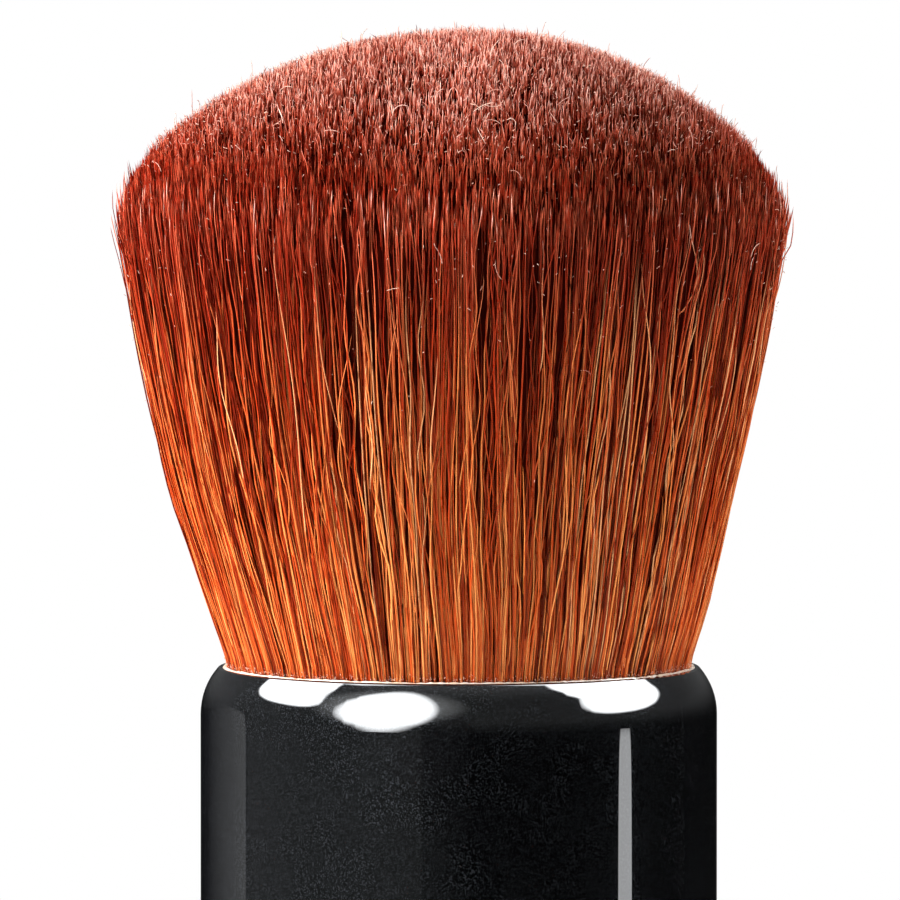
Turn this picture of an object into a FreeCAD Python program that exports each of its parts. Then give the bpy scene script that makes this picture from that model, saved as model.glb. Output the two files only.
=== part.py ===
import FreeCAD, Part
import math
import os
import re
import Sketcher

# Kabuki makeup brush: a short glossy black handle with a dense, flared and domed tuft of fine filaments.
# The brush stands on its base cap. +Z runs up its axis, and the origin is the middle of its foot.
# All sizes are in millimetres. Radii are taken from the axis, and heights from the face it stands on.

SIZES = {
    # handle shell: a drawn aluminium tube with a round shoulder that ends in a thin lip
    "shell_radius": 16.0,
    "shell_wall": 0.8,
    "shell_edge_rounding": 0.3,
    "handle_height": 32.0,
    "shoulder_radius": 4.3,
    "lip_overhang": 1.5,
    "lip_rounding": 0.25,
    # base cap: pushed into the bottom of the shell
    "foot_thickness": 1.8,
    "foot_step": 0.2,
    "foot_rounding": 0.8,
    "foot_ring_width": 2.9,
    "foot_recess_depth": 0.3,
    "spigot_height": 3.2,
    "spigot_wall": 1.3,
    "spigot_chamfer": 0.4,
    "boss_inset": 0.6,
    "boss_wall": 1.4,
    # moulded core: carries the bristle cup and holds the weight
    "core_wall": 0.9,
    "core_web": 1.5,
    "weight_tube_wall": 1.2,
    "rib_thickness": 1.2,
    "rib_overlap": 0.4,
    "rib_count": 6,
    # steel weight
    "weight_radius": 9.0,
    "weight_chamfer": 0.6,
    # bristle cup, and the resin and thread in it
    "cup_wall": 0.5,
    "cup_height": 9.6,
    "cup_flange": 0.6,
    "potting_cover": 0.25,
    "potting_floor": 0.8,
    "potting_headroom": 0.7,
    "thread_diameter": 0.5,
    "thread_turns": 5,
    "binding_margin": 0.8,
    # glue bead between the tuft and the lip
    "bead_width": 0.25,
    "bead_depth": 0.45,
    "bead_crown": 0.1,
    # filament tuft: the envelope of its filaments
    "tuft_radius": 20.7,
    "tuft_height": 39.5,
    "tuft_shoulder_radius": 8.0,
    "dome_rise": 4.7,
    "flank_radius": 150.0,
    # clearances
    "slide_clearance": 0.1,
    "cap_clearance": 0.05,
    "seat_gap": 0.05,
    "bond_gap": 0.02,
}

# Sizes that follow from those above. Each is a formula in them and in the lines before it.
WORKED_OUT = {
    # The lip's rounding is tangent to the shoulder's arc from inside.
    "shell_bore": "shell_radius - shell_wall",
    "shell_foot": "foot_thickness + seat_gap",
    "mouth_radius": "shell_radius - lip_overhang",
    "shoulder_centre": "shell_radius - shoulder_radius",
    "lip_centre": "handle_height - lip_rounding",
    "lip_reach": "mouth_radius + lip_rounding - shoulder_centre",
    "lip_rise": "sqrt((shoulder_radius - lip_rounding) ^ 2 - lip_reach ^ 2)",
    "lip_share": "shoulder_radius / (shoulder_radius - lip_rounding)",
    "shoulder_height": "lip_centre - lip_rise",
    "inner_shoulder": "shoulder_radius - shell_wall",
    "bore_reach": "mouth_radius - shoulder_centre",
    "bore_height": "shoulder_height + sqrt(inner_shoulder ^ 2 - bore_reach ^ 2)",
    # The cap's spigot fills the shell's bore, and its boss carries the weight.
    "cap_radius": "shell_radius - foot_step",
    "recess_radius": "cap_radius - foot_ring_width",
    "spigot_radius": "shell_bore - cap_clearance",
    "spigot_bore": "spigot_radius - spigot_wall",
    "spigot_top": "foot_thickness + spigot_height",
    "boss_radius": "weight_radius - boss_inset",
    "boss_bore": "boss_radius - boss_wall",
    # The cup hangs on the core by its flange, whose corner seats under the shell's shoulder.
    "core_radius": "shell_bore - slide_clearance",
    "core_bore": "core_radius - core_wall",
    "flange_reach": "core_radius - shoulder_centre",
    "flange_top": "shoulder_height + sqrt((inner_shoulder - seat_gap) ^ 2 - flange_reach ^ 2)",
    "flange_underside": "flange_top - cup_flange",
    "cup_bottom": "flange_top - cup_height",
    "cup_floor": "cup_bottom + cup_wall",
    "cup_radius": "core_bore - seat_gap",
    "cup_bore": "cup_radius - cup_wall",
    "core_top": "flange_underside - bond_gap",
    "core_bottom": "spigot_top + seat_gap",
    "web_top": "cup_bottom - seat_gap",
    "web_bottom": "web_top - core_web",
    "weight_bore": "weight_radius + slide_clearance",
    "weight_tube": "weight_bore + weight_tube_wall",
    "weight_length": "web_bottom - seat_gap - core_bottom",
    # The resin lines the cup round the tuft's root, and a groove in it holds the thread.
    "potting_radius": "cup_bore - bond_gap",
    "potting_bottom": "cup_floor + bond_gap",
    "potting_inside": "potting_bottom + potting_floor",
    "potting_top": "flange_top - potting_headroom",
    "groove_radius": "potting_radius - potting_cover",
    "potting_bore": "groove_radius - bond_gap - thread_diameter",
    "root_radius": "potting_bore - bond_gap",
    "root_bottom": "potting_inside + bond_gap",
    "groove_bottom": "root_bottom + binding_margin",
    "groove_top": "potting_top - binding_margin",
    "thread_radius": "thread_diameter / 2",
    "winding_radius": "potting_bore + thread_radius",
    "winding_start": "groove_bottom + bond_gap + thread_radius",
    "winding_height": "groove_top - bond_gap - thread_radius - winding_start",
    "winding_pitch": "winding_height / thread_turns",
    # The bead closes the gap between the neck of the tuft and the lip.
    "bead_radius": "mouth_radius - bond_gap",
    "bead_bore": "bead_radius - bead_width",
    "bead_bottom": "lip_centre - bead_depth",
    "bead_curve": "(bead_crown ^ 2 + bead_width ^ 2 / 4) / (2 * bead_crown)",
    "neck_radius": "bead_bore - bond_gap",
    # The dome is tangent to the tuft's round shoulder, and meets the axis at the top.
    "tuft_top": "handle_height + tuft_height",
    "widest_height": "tuft_top - dome_rise - tuft_shoulder_radius",
    "round_centre": "tuft_radius - tuft_shoulder_radius",
    "crown_rise": "dome_rise + tuft_shoulder_radius",
    "dome_radius": "(round_centre ^ 2 + crown_rise ^ 2 - tuft_shoulder_radius ^ 2) / (2 * dome_rise)",
    "dome_share": "dome_radius / (dome_radius - tuft_shoulder_radius)",
    "dome_centre": "tuft_top - dome_radius",
    "dome_edge": "round_centre * dome_share",
    "dome_edge_height": "dome_centre + (widest_height - dome_centre) * dome_share",
    # The flank is an arc from the mouth, tangent to the round shoulder.
    "flank_across": "round_centre - neck_radius",
    "flank_up": "widest_height - handle_height",
    "flank_span": "sqrt(flank_across ^ 2 + flank_up ^ 2)",
    "round_offset": "2 * flank_radius * tuft_shoulder_radius - tuft_shoulder_radius ^ 2",
    "foot_of_centre": "(flank_span ^ 2 + round_offset) / (2 * flank_span)",
    "centre_offset": "sqrt(flank_radius ^ 2 - foot_of_centre ^ 2)",
    "flank_centre": "neck_radius + (foot_of_centre * flank_across - centre_offset * flank_up) / flank_span",
    "flank_level": "handle_height + (foot_of_centre * flank_up + centre_offset * flank_across) / flank_span",
    "flank_share": "flank_radius / (flank_radius - tuft_shoulder_radius)",
    "flank_top": "flank_centre + (round_centre - flank_centre) * flank_share",
    "flank_top_height": "flank_level + (widest_height - flank_level) * flank_share",
}

document = FreeCAD.newDocument("kabuki_brush")


def bound(text):
    """A formula in the names above, as an expression that reads each of them from its sheet."""
    def with_sheet(match):
        word = match.group(0)
        if word in SIZES:
            return "sizes." + word
        return "worked_out." + word if word in WORKED_OUT else word
    return re.sub(r"[a-z_]+", with_sheet, text)


def add_sheet(name, rows, as_formulas):
    """A sheet with one named cell for each row."""
    sheet = document.addObject("Spreadsheet::Sheet", name)
    for row, (alias, content) in enumerate(rows.items(), start=1):
        sheet.set(f"A{row}", alias)
        sheet.set(f"B{row}", "=" + bound(content) if as_formulas else str(content))
        sheet.setAlias(f"B{row}", alias)
    document.recompute()
    return sheet


add_sheet("sizes", SIZES, as_formulas=False)
worked_out = add_sheet("worked_out", WORKED_OUT, as_formulas=True)


def value(text):
    """What a formula in the names above comes to, in millimetres."""
    return float(worked_out.evalExpression(bound(text)))


def new_body(label):
    body = document.addObject("PartDesign::Body", label)
    body.Label = label
    return body


def origin_plane(body, role):
    return next(item for item in body.Origin.OriginFeatures if item.Role == role)


def arc_between(start, end, radius):
    """The short arc from start to end. A positive radius turns left on the way, and a negative one right."""
    chord = end - start
    across = FreeCAD.Vector(-chord.y, chord.x, 0).normalize()
    rise = math.sqrt(radius ** 2 - chord.Length ** 2 / 4)
    centre = (start + end) / 2 + across * math.copysign(rise, radius)
    first, last = (start, end) if radius > 0 else (end, start)
    circle = Part.Circle(centre, FreeCAD.Vector(0, 0, 1), abs(radius))
    return Part.ArcOfCircle(circle, *(math.atan2(p.y - centre.y, p.x - centre.x) for p in (first, last)))


def hold(sketch, edge, end, axis, text):
    """Keeps one end of an edge at a named distance from the sketch's origin, along X or Y."""
    if text == "0":
        sketch.addConstraint(Sketcher.Constraint("PointOnObject", edge, end, -2 if axis == "X" else -1))
        return
    held = sketch.addConstraint(Sketcher.Constraint("Distance" + axis, -1, 1, edge, end, value(text)))
    name = f"corner{edge}{axis}"
    sketch.renameConstraint(held, name)
    sketch.setExpression("Constraints." + name, bound(text))


def add_outline(body, name, corners):
    """A closed sketch in the XZ plane.

    Each corner is (out, up), where a straight edge leads to the next one, or (out, up, radius) with an arc.
    """
    sketch = body.newObject("Sketcher::SketchObject", name)
    sketch.AttachmentSupport = [(origin_plane(body, "XZ_Plane"), "")]
    sketch.MapMode = "FlatFace"
    points = [FreeCAD.Vector(value(corner[0]), value(corner[1]), 0) for corner in corners]
    edges = []
    for corner, start, end in zip(corners, points, points[1:] + points[:1]):
        if len(corner) == 2:
            edges.append((sketch.addGeometry(Part.LineSegment(start, end), False), 1, 2))
            continue
        radius = value(corner[2])
        arc = sketch.addGeometry(arc_between(start, end, radius), False)
        edges.append((arc, 1, 2) if radius > 0 else (arc, 2, 1))
    for (edge, _, last), (following, first, _) in zip(edges, edges[1:] + edges[:1]):
        sketch.addConstraint(Sketcher.Constraint("Coincident", edge, last, following, first))
    for (edge, first, _), corner in zip(edges, corners):
        hold(sketch, edge, first, "X", corner[0])
        hold(sketch, edge, first, "Y", corner[1])
        if len(corner) == 3:
            bend = sketch.addConstraint(Sketcher.Constraint("Radius", edge, abs(value(corner[2]))))
            sketch.renameConstraint(bend, f"bend{edge}")
            sketch.setExpression(f"Constraints.bend{edge}", f"abs({bound(corner[2])})")
    return sketch


def revolve(body, name, corners):
    """Turns an outline all the way round the Z axis."""
    sketch = add_outline(body, name + "_outline", corners)
    feature = body.newObject("PartDesign::Revolution", name)
    feature.Profile = sketch
    feature.ReferenceAxis = (sketch, ["V_Axis"])
    feature.Angle = 360
    return feature


def make_handle_shell():
    body = new_body("handle_shell")
    revolve(body, "drawn_tube", [
        ("shell_radius", "shell_foot + shell_edge_rounding"),
        ("shell_radius", "shoulder_height", "shoulder_radius"),
        ("shoulder_centre + lip_reach * lip_share", "shoulder_height + lip_rise * lip_share", "lip_rounding"),
        ("mouth_radius", "lip_centre"),
        ("mouth_radius", "bore_height", "-inner_shoulder"),
        ("shell_bore", "shoulder_height"),
        ("shell_bore", "shell_foot"),
        ("shell_radius - shell_edge_rounding", "shell_foot", "shell_edge_rounding"),
    ])
    return body


def make_base_cap():
    """The foot that closes the shell, with a shallow bare recess under it."""
    body = new_body("base_cap")
    revolve(body, "moulded_cap", [
        ("0", "foot_recess_depth"),
        ("recess_radius", "foot_recess_depth"),
        ("recess_radius + foot_recess_depth", "0"),
        ("cap_radius - foot_rounding", "0", "foot_rounding"),
        ("cap_radius", "foot_rounding"),
        ("cap_radius", "foot_thickness"),
        ("spigot_radius", "foot_thickness"),
        ("spigot_radius", "spigot_top - spigot_chamfer"),
        ("spigot_radius - spigot_chamfer", "spigot_top"),
        ("spigot_bore", "spigot_top"),
        ("spigot_bore", "foot_thickness"),
        ("boss_radius", "foot_thickness"),
        ("boss_radius", "spigot_top"),
        ("boss_bore", "spigot_top"),
        ("boss_bore", "foot_thickness"),
        ("0", "foot_thickness"),
    ])
    return body


def make_inner_core():
    """A web with the cup's socket above it, and a tube for the weight and the outer wall below it."""
    body = new_body("inner_core")
    revolve(body, "socket_and_tube", [
        ("0", "web_bottom"),
        ("weight_bore", "web_bottom"),
        ("weight_bore", "core_bottom"),
        ("weight_tube", "core_bottom"),
        ("weight_tube", "web_bottom"),
        ("core_bore", "web_bottom"),
        ("core_bore", "core_bottom"),
        ("core_radius", "core_bottom"),
        ("core_radius", "core_top"),
        ("core_bore", "core_top"),
        ("core_bore", "web_top"),
        ("0", "web_top"),
    ])
    rib_outline = add_outline(body, "rib_outline", [
        ("weight_tube - rib_overlap", "core_bottom + core_wall"),
        ("core_bore + rib_overlap", "core_bottom + core_wall"),
        ("core_bore + rib_overlap", "web_bottom + core_web / 2"),
        ("weight_tube - rib_overlap", "web_bottom + core_web / 2"),
    ])
    rib = body.newObject("PartDesign::Pad", "rib")
    rib.Profile = rib_outline
    rib.Midplane = True
    rib.setExpression("Length", bound("rib_thickness"))
    ribs = body.newObject("PartDesign::PolarPattern", "ribs")
    ribs.Originals = [rib]
    ribs.Axis = (rib_outline, ["V_Axis"])
    ribs.Angle = 360
    ribs.setExpression("Occurrences", bound("rib_count"))
    body.Tip = ribs
    return body


def make_weight_slug():
    body = new_body("weight_slug")
    revolve(body, "turned_bar", [
        ("0", "core_bottom"),
        ("weight_radius - weight_chamfer", "core_bottom"),
        ("weight_radius", "core_bottom + weight_chamfer"),
        ("weight_radius", "core_bottom + weight_length - weight_chamfer"),
        ("weight_radius - weight_chamfer", "core_bottom + weight_length"),
        ("0", "core_bottom + weight_length"),
    ])
    return body


def make_bristle_cup():
    body = new_body("bristle_cup")
    revolve(body, "pressed_cup", [
        ("0", "cup_bottom"),
        ("cup_radius", "cup_bottom"),
        ("cup_radius", "flange_underside"),
        ("core_radius", "flange_underside"),
        ("core_radius", "flange_top"),
        ("cup_bore", "flange_top"),
        ("cup_bore", "cup_floor"),
        ("0", "cup_floor"),
    ])
    return body


def make_epoxy_potting():
    body = new_body("epoxy_potting")
    revolve(body, "cured_resin", [
        ("0", "potting_bottom"),
        ("potting_radius", "potting_bottom"),
        ("potting_radius", "potting_top"),
        ("potting_bore", "potting_top"),
        ("potting_bore", "groove_top"),
        ("groove_radius", "groove_top"),
        ("groove_radius", "groove_bottom"),
        ("potting_bore", "groove_bottom"),
        ("potting_bore", "potting_inside"),
        ("0", "potting_inside"),
    ])
    return body


def make_root_binding():
    """The thread that ties the root of the tuft: one unbroken length, wound in a helix."""
    winding = document.addObject("Part::Helix", "winding")
    winding.setExpression("Radius", bound("winding_radius"))
    winding.setExpression("Pitch", bound("winding_pitch"))
    winding.setExpression("Height", bound("winding_height"))
    winding.setExpression("Placement.Base.z", bound("winding_start"))
    section = document.addObject("Part::Circle", "thread_section")
    section.setExpression("Radius", bound("thread_radius"))
    section.Placement.Rotation = FreeCAD.Rotation(FreeCAD.Vector(1, 0, 0), 90)
    section.setExpression("Placement.Base.x", bound("winding_radius"))
    section.setExpression("Placement.Base.z", bound("winding_start"))
    thread = document.addObject("Part::Sweep", "root_binding")
    thread.Label = "root_binding"
    thread.Sections = [section]
    thread.Spine = (winding, ["Edge1"])
    thread.Solid = True
    thread.Frenet = True
    return thread


def make_rim_glue_bead():
    body = new_body("rim_glue_bead")
    revolve(body, "bead", [
        ("bead_bore", "bead_bottom"),
        ("bead_radius", "bead_bottom"),
        ("bead_radius", "lip_centre", "bead_curve"),
        ("bead_bore", "lip_centre"),
    ])
    return body


def make_filament_tuft():
    """The envelope of the filaments: a tied root, a neck through the lip, a flank that flares, and a dome."""
    body = new_body("filament_tuft")
    revolve(body, "gathered_filaments", [
        ("0", "root_bottom"),
        ("root_radius", "root_bottom"),
        ("root_radius", "potting_top"),
        ("neck_radius", "bore_height"),
        ("neck_radius", "handle_height", "flank_radius"),
        ("flank_top", "flank_top_height", "tuft_shoulder_radius"),
        ("dome_edge", "dome_edge_height", "dome_radius"),
        ("0", "tuft_top"),
    ])
    return body


def least_gap_between_turns():
    """The least clear distance from one turn of the thread to any other, measured on points of its path."""
    steps_per_turn = 24
    turns = int(value("thread_turns"))
    radius, pitch = value("winding_radius"), value("winding_pitch")
    path = []
    for step in range(turns * steps_per_turn + 1):
        angle = 2 * math.pi * step / steps_per_turn
        rise = pitch * step / steps_per_turn
        path.append(FreeCAD.Vector(radius * math.cos(angle), radius * math.sin(angle), rise))
    half_turn = steps_per_turn // 2
    apart = [p.distanceToPoint(q) for i, p in enumerate(path) for q in path[i + half_turn:]]
    return min(apart) - value("thread_diameter")


PIECES = [
    make_handle_shell(),
    make_base_cap(),
    make_inner_core(),
    make_weight_slug(),
    make_bristle_cup(),
    make_epoxy_potting(),
    make_root_binding(),
    make_rim_glue_bead(),
    make_filament_tuft(),
]
document.recompute()

failed = [item.Label for item in document.Objects if "Invalid" in item.State or "Error" in item.State]
if failed:
    raise RuntimeError(f"these objects failed: {failed}")
for piece in PIECES:
    if piece.Shape.isNull() or not piece.Shape.isValid() or piece.Shape.Volume <= 0:
        raise RuntimeError(f"{piece.Label} has no valid solid")

os.makedirs("parts", exist_ok=True)
for piece in PIECES:
    piece.Shape.exportStep(f"parts/{piece.Label}.step")
    print(f"{piece.Label}: {len(piece.Shape.Solids)} solid, {piece.Shape.Volume:.1f} mm3")
print(f"least gap between turns of the thread: {least_gap_between_turns():.2f} mm")
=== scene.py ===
"""Kabuki makeup brush: the looks of a glossy black handle and a dense flared tuft of fine filaments.

Everything is in metres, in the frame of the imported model: +Z up the brush, origin at the middle of its foot.
"""

import logging
import math
from dataclasses import dataclass, field
from enum import Enum
from typing import Any, Optional, Sequence, Union

import bpy
import numpy as np
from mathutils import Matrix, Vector

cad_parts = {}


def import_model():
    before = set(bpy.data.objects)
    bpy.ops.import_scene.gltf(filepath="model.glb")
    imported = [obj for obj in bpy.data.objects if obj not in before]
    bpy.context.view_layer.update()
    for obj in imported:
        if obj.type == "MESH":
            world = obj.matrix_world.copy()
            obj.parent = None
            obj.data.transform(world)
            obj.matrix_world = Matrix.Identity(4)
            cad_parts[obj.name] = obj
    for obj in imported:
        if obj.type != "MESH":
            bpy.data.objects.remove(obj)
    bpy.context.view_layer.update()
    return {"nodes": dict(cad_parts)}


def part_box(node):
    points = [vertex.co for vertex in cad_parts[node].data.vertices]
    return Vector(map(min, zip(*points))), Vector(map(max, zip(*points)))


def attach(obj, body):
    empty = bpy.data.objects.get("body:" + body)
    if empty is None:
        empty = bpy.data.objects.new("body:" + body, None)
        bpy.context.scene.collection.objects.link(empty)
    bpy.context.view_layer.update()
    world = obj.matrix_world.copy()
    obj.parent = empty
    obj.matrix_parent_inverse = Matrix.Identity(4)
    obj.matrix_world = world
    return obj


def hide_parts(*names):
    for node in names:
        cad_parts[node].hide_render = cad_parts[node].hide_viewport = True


LOG = logging.getLogger("kabuki_brush")

MM = 0.001
TURN = 2 * math.pi
WAVE_PHASES = 6.28
ROOT_BODY = "root"
STRAND_MAP = "strand"
EXPORT_MAP = "OFBake"
STRAND_COLUMNS = 256
Pair = tuple[float, float]
Triple = tuple[float, float, float]
Colour = Triple
Stops = tuple[tuple[float, Colour], ...]
Faces = list[tuple[int, ...]]
Number = Union[int, float]
WHITE: Colour = (1.0, 1.0, 1.0)


class Tone(Enum):
    """Which of the tuft's finishes a bundle of filaments takes. The outer and inner ones are darker: painted
    shade for their depth in the tuft.
    """

    SURFACE = "surface"
    OUTER = "outer"
    INNER = "inner"
    CROWN = "crown"
    STRAY = "stray"


# ---- Shader expressions ----


class Signal:
    """A value that flows through a material's nodes, written as a Python expression."""

    def __init__(self, shader: "Shader", socket: bpy.types.NodeSocket) -> None:
        """Wraps an output socket of one of the shader's nodes."""
        self.shader = shader
        self.socket = socket

    def _maths(self, operation: str, *operands: Any, clamp: bool = False) -> "Signal":
        """The result of a Math node with these inputs, which clamp keeps between 0 and 1."""
        settings = {"operation": operation, "use_clamp": clamp}
        return self.shader.node("ShaderNodeMath", settings, dict(enumerate(operands)))

    def __add__(self, other: Any) -> "Signal":
        """The sum."""
        return self._maths("ADD", self, other)

    def __radd__(self, other: Any) -> "Signal":
        """The sum, with the signal on the right."""
        return self._maths("ADD", other, self)

    def __sub__(self, other: Any) -> "Signal":
        """The difference."""
        return self._maths("SUBTRACT", self, other)

    def __rsub__(self, other: Any) -> "Signal":
        """The difference, with the signal on the right."""
        return self._maths("SUBTRACT", other, self)

    def __mul__(self, other: Any) -> "Signal":
        """The product."""
        return self._maths("MULTIPLY", self, other)

    def __rmul__(self, other: Any) -> "Signal":
        """The product, with the signal on the right."""
        return self._maths("MULTIPLY", other, self)

    def __truediv__(self, other: Any) -> "Signal":
        """The quotient."""
        return self._maths("DIVIDE", self, other)

    def __rtruediv__(self, other: Any) -> "Signal":
        """The quotient, with the signal on the right."""
        return self._maths("DIVIDE", other, self)

    def __pow__(self, other: Any) -> "Signal":
        """The power."""
        return self._maths("POWER", self, other)

    def __rpow__(self, other: Any) -> "Signal":
        """The power, with the signal on the right."""
        return self._maths("POWER", other, self)

    def __gt__(self, other: Any) -> "Signal":
        """1 where the signal is greater, and 0 elsewhere."""
        return self._maths("GREATER_THAN", self, other)

    def __abs__(self) -> "Signal":
        """The size without the sign."""
        return self._maths("ABSOLUTE", self)

    def floor(self) -> "Signal":
        """The whole part."""
        return self._maths("FLOOR", self)

    def larger(self, other: Any) -> "Signal":
        """The larger of the two."""
        return self._maths("MAXIMUM", self, other)

    def degrees_over(self, other: Any) -> "Signal":
        """The angle, in degrees, whose tangent is the signal over the other."""
        return self._maths("ARCTAN2", self, other) * (180.0 / math.pi)

    def clamped(self) -> "Signal":
        """The signal kept between 0 and 1."""
        return self._maths("ADD", self, 0.0, clamp=True)

    def rise(self, low: Number, high: Number) -> "Signal":
        """A smooth step from 0 at low to 1 at high, which falls where high is below low."""
        inputs = {"Value": self, "From Min": low, "From Max": high}
        return self.shader.node("ShaderNodeMapRange", {"interpolation_type": "SMOOTHSTEP"}, inputs, "Result")


class Shader:
    """Builds one material's or world's node tree."""

    def __init__(self, owner: Any) -> None:
        """Empties the node tree of a material or world, and keeps it to build in."""
        owner.use_nodes = True
        self.tree = owner.node_tree
        self.tree.nodes.clear()

    @classmethod
    def material(cls, name: str) -> tuple["Shader", bpy.types.Material]:
        """A shader to build in, and the new material that it belongs to."""
        made = bpy.data.materials.new(name)
        return cls(made), made

    def node(
        self,
        kind: str,
        settings: Optional[dict[str, Any]] = None,
        inputs: Optional[dict[Union[str, int], Any]] = None,
        output: Union[str, int] = 0,
    ) -> Signal:
        """Adds a node of any type.

        Args:
            kind: The node's type.
            settings: Its properties, set first. "stops" gives a colour ramp's places and colours.
            inputs: Values or signals for its sockets, by name or number.
            output: The socket that is returned.

        Returns:
            The chosen output.
        """
        made = self.tree.nodes.new(kind)
        for name, setting in (settings or {}).items():
            if name == "stops":
                self._set_stops(made.color_ramp, setting)
            else:
                setattr(made, name, setting)
        for name, given in (inputs or {}).items():
            socket = made.inputs[name]
            if isinstance(given, Signal):
                self.tree.links.new(given.socket, socket)
            elif isinstance(given, tuple) and len(given) == 3 and socket.type == "RGBA":
                socket.default_value = (*given, 1.0)
            else:
                socket.default_value = given
        return Signal(self, made.outputs[output])

    @staticmethod
    def _set_stops(ramp: bpy.types.ColorRamp, stops: Stops) -> None:
        """Gives a ramp its stops.

        Args:
            ramp: The ramp.
            stops: Places from 0 to 1, each with its colour.
        """
        while len(ramp.elements) < len(stops):
            ramp.elements.new(1.0)
        for element, (place, colour) in zip(ramp.elements, stops):
            element.position = place
            element.color = (*colour, 1.0)

    def ramp(self, where: Signal, stops: Stops) -> Signal:
        """A colour that changes with a value from 0 to 1."""
        return self.node("ShaderNodeValToRGB", {"stops": stops}, {"Fac": where}, "Color")

    def mix(self, factor: Any, first: Any, second: Any, blend: str = "MIX") -> Signal:
        """Two colours, blended by how much of the second one shows."""
        settings = {"data_type": "RGBA", "blend_type": blend, "clamp_factor": True}
        return self.node("ShaderNodeMix", settings, {0: factor, 6: first, 7: second}, 2)

    def scaled(self, colour: Any, strength: Any) -> Signal:
        """A colour whose channels are multiplied by a strength."""
        inputs = {0: colour, "Scale": strength}
        return self.node("ShaderNodeVectorMath", {"operation": "SCALE"}, inputs, "Vector")

    def coordinate(self, kind: str, scale: Triple = (1.0, 1.0, 1.0)) -> Signal:
        """An output of the Texture Coordinate node, stretched along each axis."""
        inputs = {0: self.node("ShaderNodeTexCoord", None, None, kind), 1: scale}
        return self.node("ShaderNodeVectorMath", {"operation": "MULTIPLY"}, inputs, "Vector")

    def axes(self, place: Signal, letters: str = "XYZ") -> list[Signal]:
        """The chosen parts of a vector."""
        return [self.node("ShaderNodeSeparateXYZ", None, {0: place}, letter) for letter in letters]

    def noise(self, where: Signal, scale: float, detail: float = 2.0, roughness: float = 0.5) -> Signal:
        """Cloudy noise around 0.5: how fine it is, how many finer layers it has, and how strong those are."""
        inputs = {"Vector": where, "Scale": scale, "Detail": detail, "Roughness": roughness}
        return self.node("ShaderNodeTexNoise", None, inputs, "Fac")

    def white(self, value: Signal) -> Signal:
        """A random value from 0 to 1 for each different value."""
        return self.node("ShaderNodeTexWhiteNoise", {"noise_dimensions": "1D"}, {"W": value}, "Value")

    def bump(self, height: Signal, distance: float, strength: float = 1.0) -> Signal:
        """The normal of a surface that is raised by a height from 0 to 1 times a distance in metres."""
        inputs = {"Height": height, "Distance": distance, "Strength": strength}
        return self.node("ShaderNodeBump", None, inputs, "Normal")

    def seen(self) -> Signal:
        """1 in what the camera sees, also in a mirror or through glass, and 0 in the light on a surface."""
        kinds = ("Is Camera Ray", "Is Glossy Ray", "Is Transmission Ray")
        camera, glossy, clear = [self.node("ShaderNodeLightPath", None, None, kind) for kind in kinds]
        return (camera + glossy + clear).clamped()

    def surface(self, **sockets: Any) -> None:
        """Ends the tree with a Principled shader, whose inputs are named with underscores for spaces."""
        inputs = {name.replace("_", " "): given for name, given in sockets.items()}
        self.end("ShaderNodeOutputMaterial", self.node("ShaderNodeBsdfPrincipled", None, inputs, "BSDF"))

    def end(self, kind: str, shader: Signal) -> None:
        """Adds an output node of a kind, with the shader as its surface."""
        made = self.tree.nodes.new(kind)
        self.tree.links.new(shader.socket, made.inputs["Surface"])


# ---- Finishes ----

# Filament colour from root to tip: darker up towards the shoulder, ending in a pale pink painted sheen for
# light through the fine tips.
DYE_AND_TIP_SHEEN: Stops = (
    (0.0, (0.46, 0.058, 0.006)),
    (0.045, (0.56, 0.087, 0.012)),
    (0.10, (0.56, 0.084, 0.010)),
    (0.34, (0.50, 0.062, 0.006)),
    (0.56, (0.42, 0.038, 0.003)),
    (0.74, (0.34, 0.021, 0.002)),
    (0.90, (0.30, 0.015, 0.003)),
    (0.980, (0.36, 0.026, 0.009)),
    (0.992, (0.50, 0.105, 0.060)),
    (1.0, (0.88, 0.460, 0.370)),
)
# Painted highlight: the tan that the lightest filaments turn to, from root to tip, for the shine along them,
# ending in a pale pink painted sheen at the tip.
PAINTED_HIGHLIGHT: Stops = (
    (0.0, (0.70, 0.200, 0.045)),
    (0.045, (0.82, 0.288, 0.078)),
    (0.34, (0.82, 0.265, 0.065)),
    (0.56, (0.76, 0.215, 0.052)),
    (0.74, (0.66, 0.145, 0.036)),
    (0.90, (0.58, 0.090, 0.034)),
    (0.980, (0.66, 0.130, 0.062)),
    (0.991, (0.85, 0.320, 0.240)),
    (1.0, (0.96, 0.620, 0.530)),
)
# Pale colour for the strays, curls and glue flecks, from root to tip; its pale pink end is painted sheen on
# the strays' tips and a painted glint on the curls.
PALE_DYE_AND_GLINT: Stops = (
    (0.0, (0.84, 0.29, 0.07)),
    (0.5, (0.76, 0.21, 0.05)),
    (0.75, (0.66, 0.17, 0.06)),
    (0.94, (0.70, 0.26, 0.14)),
    (0.965, (0.92, 0.62, 0.52)),
    (1.0, (0.94, 0.68, 0.58)),
)


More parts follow.
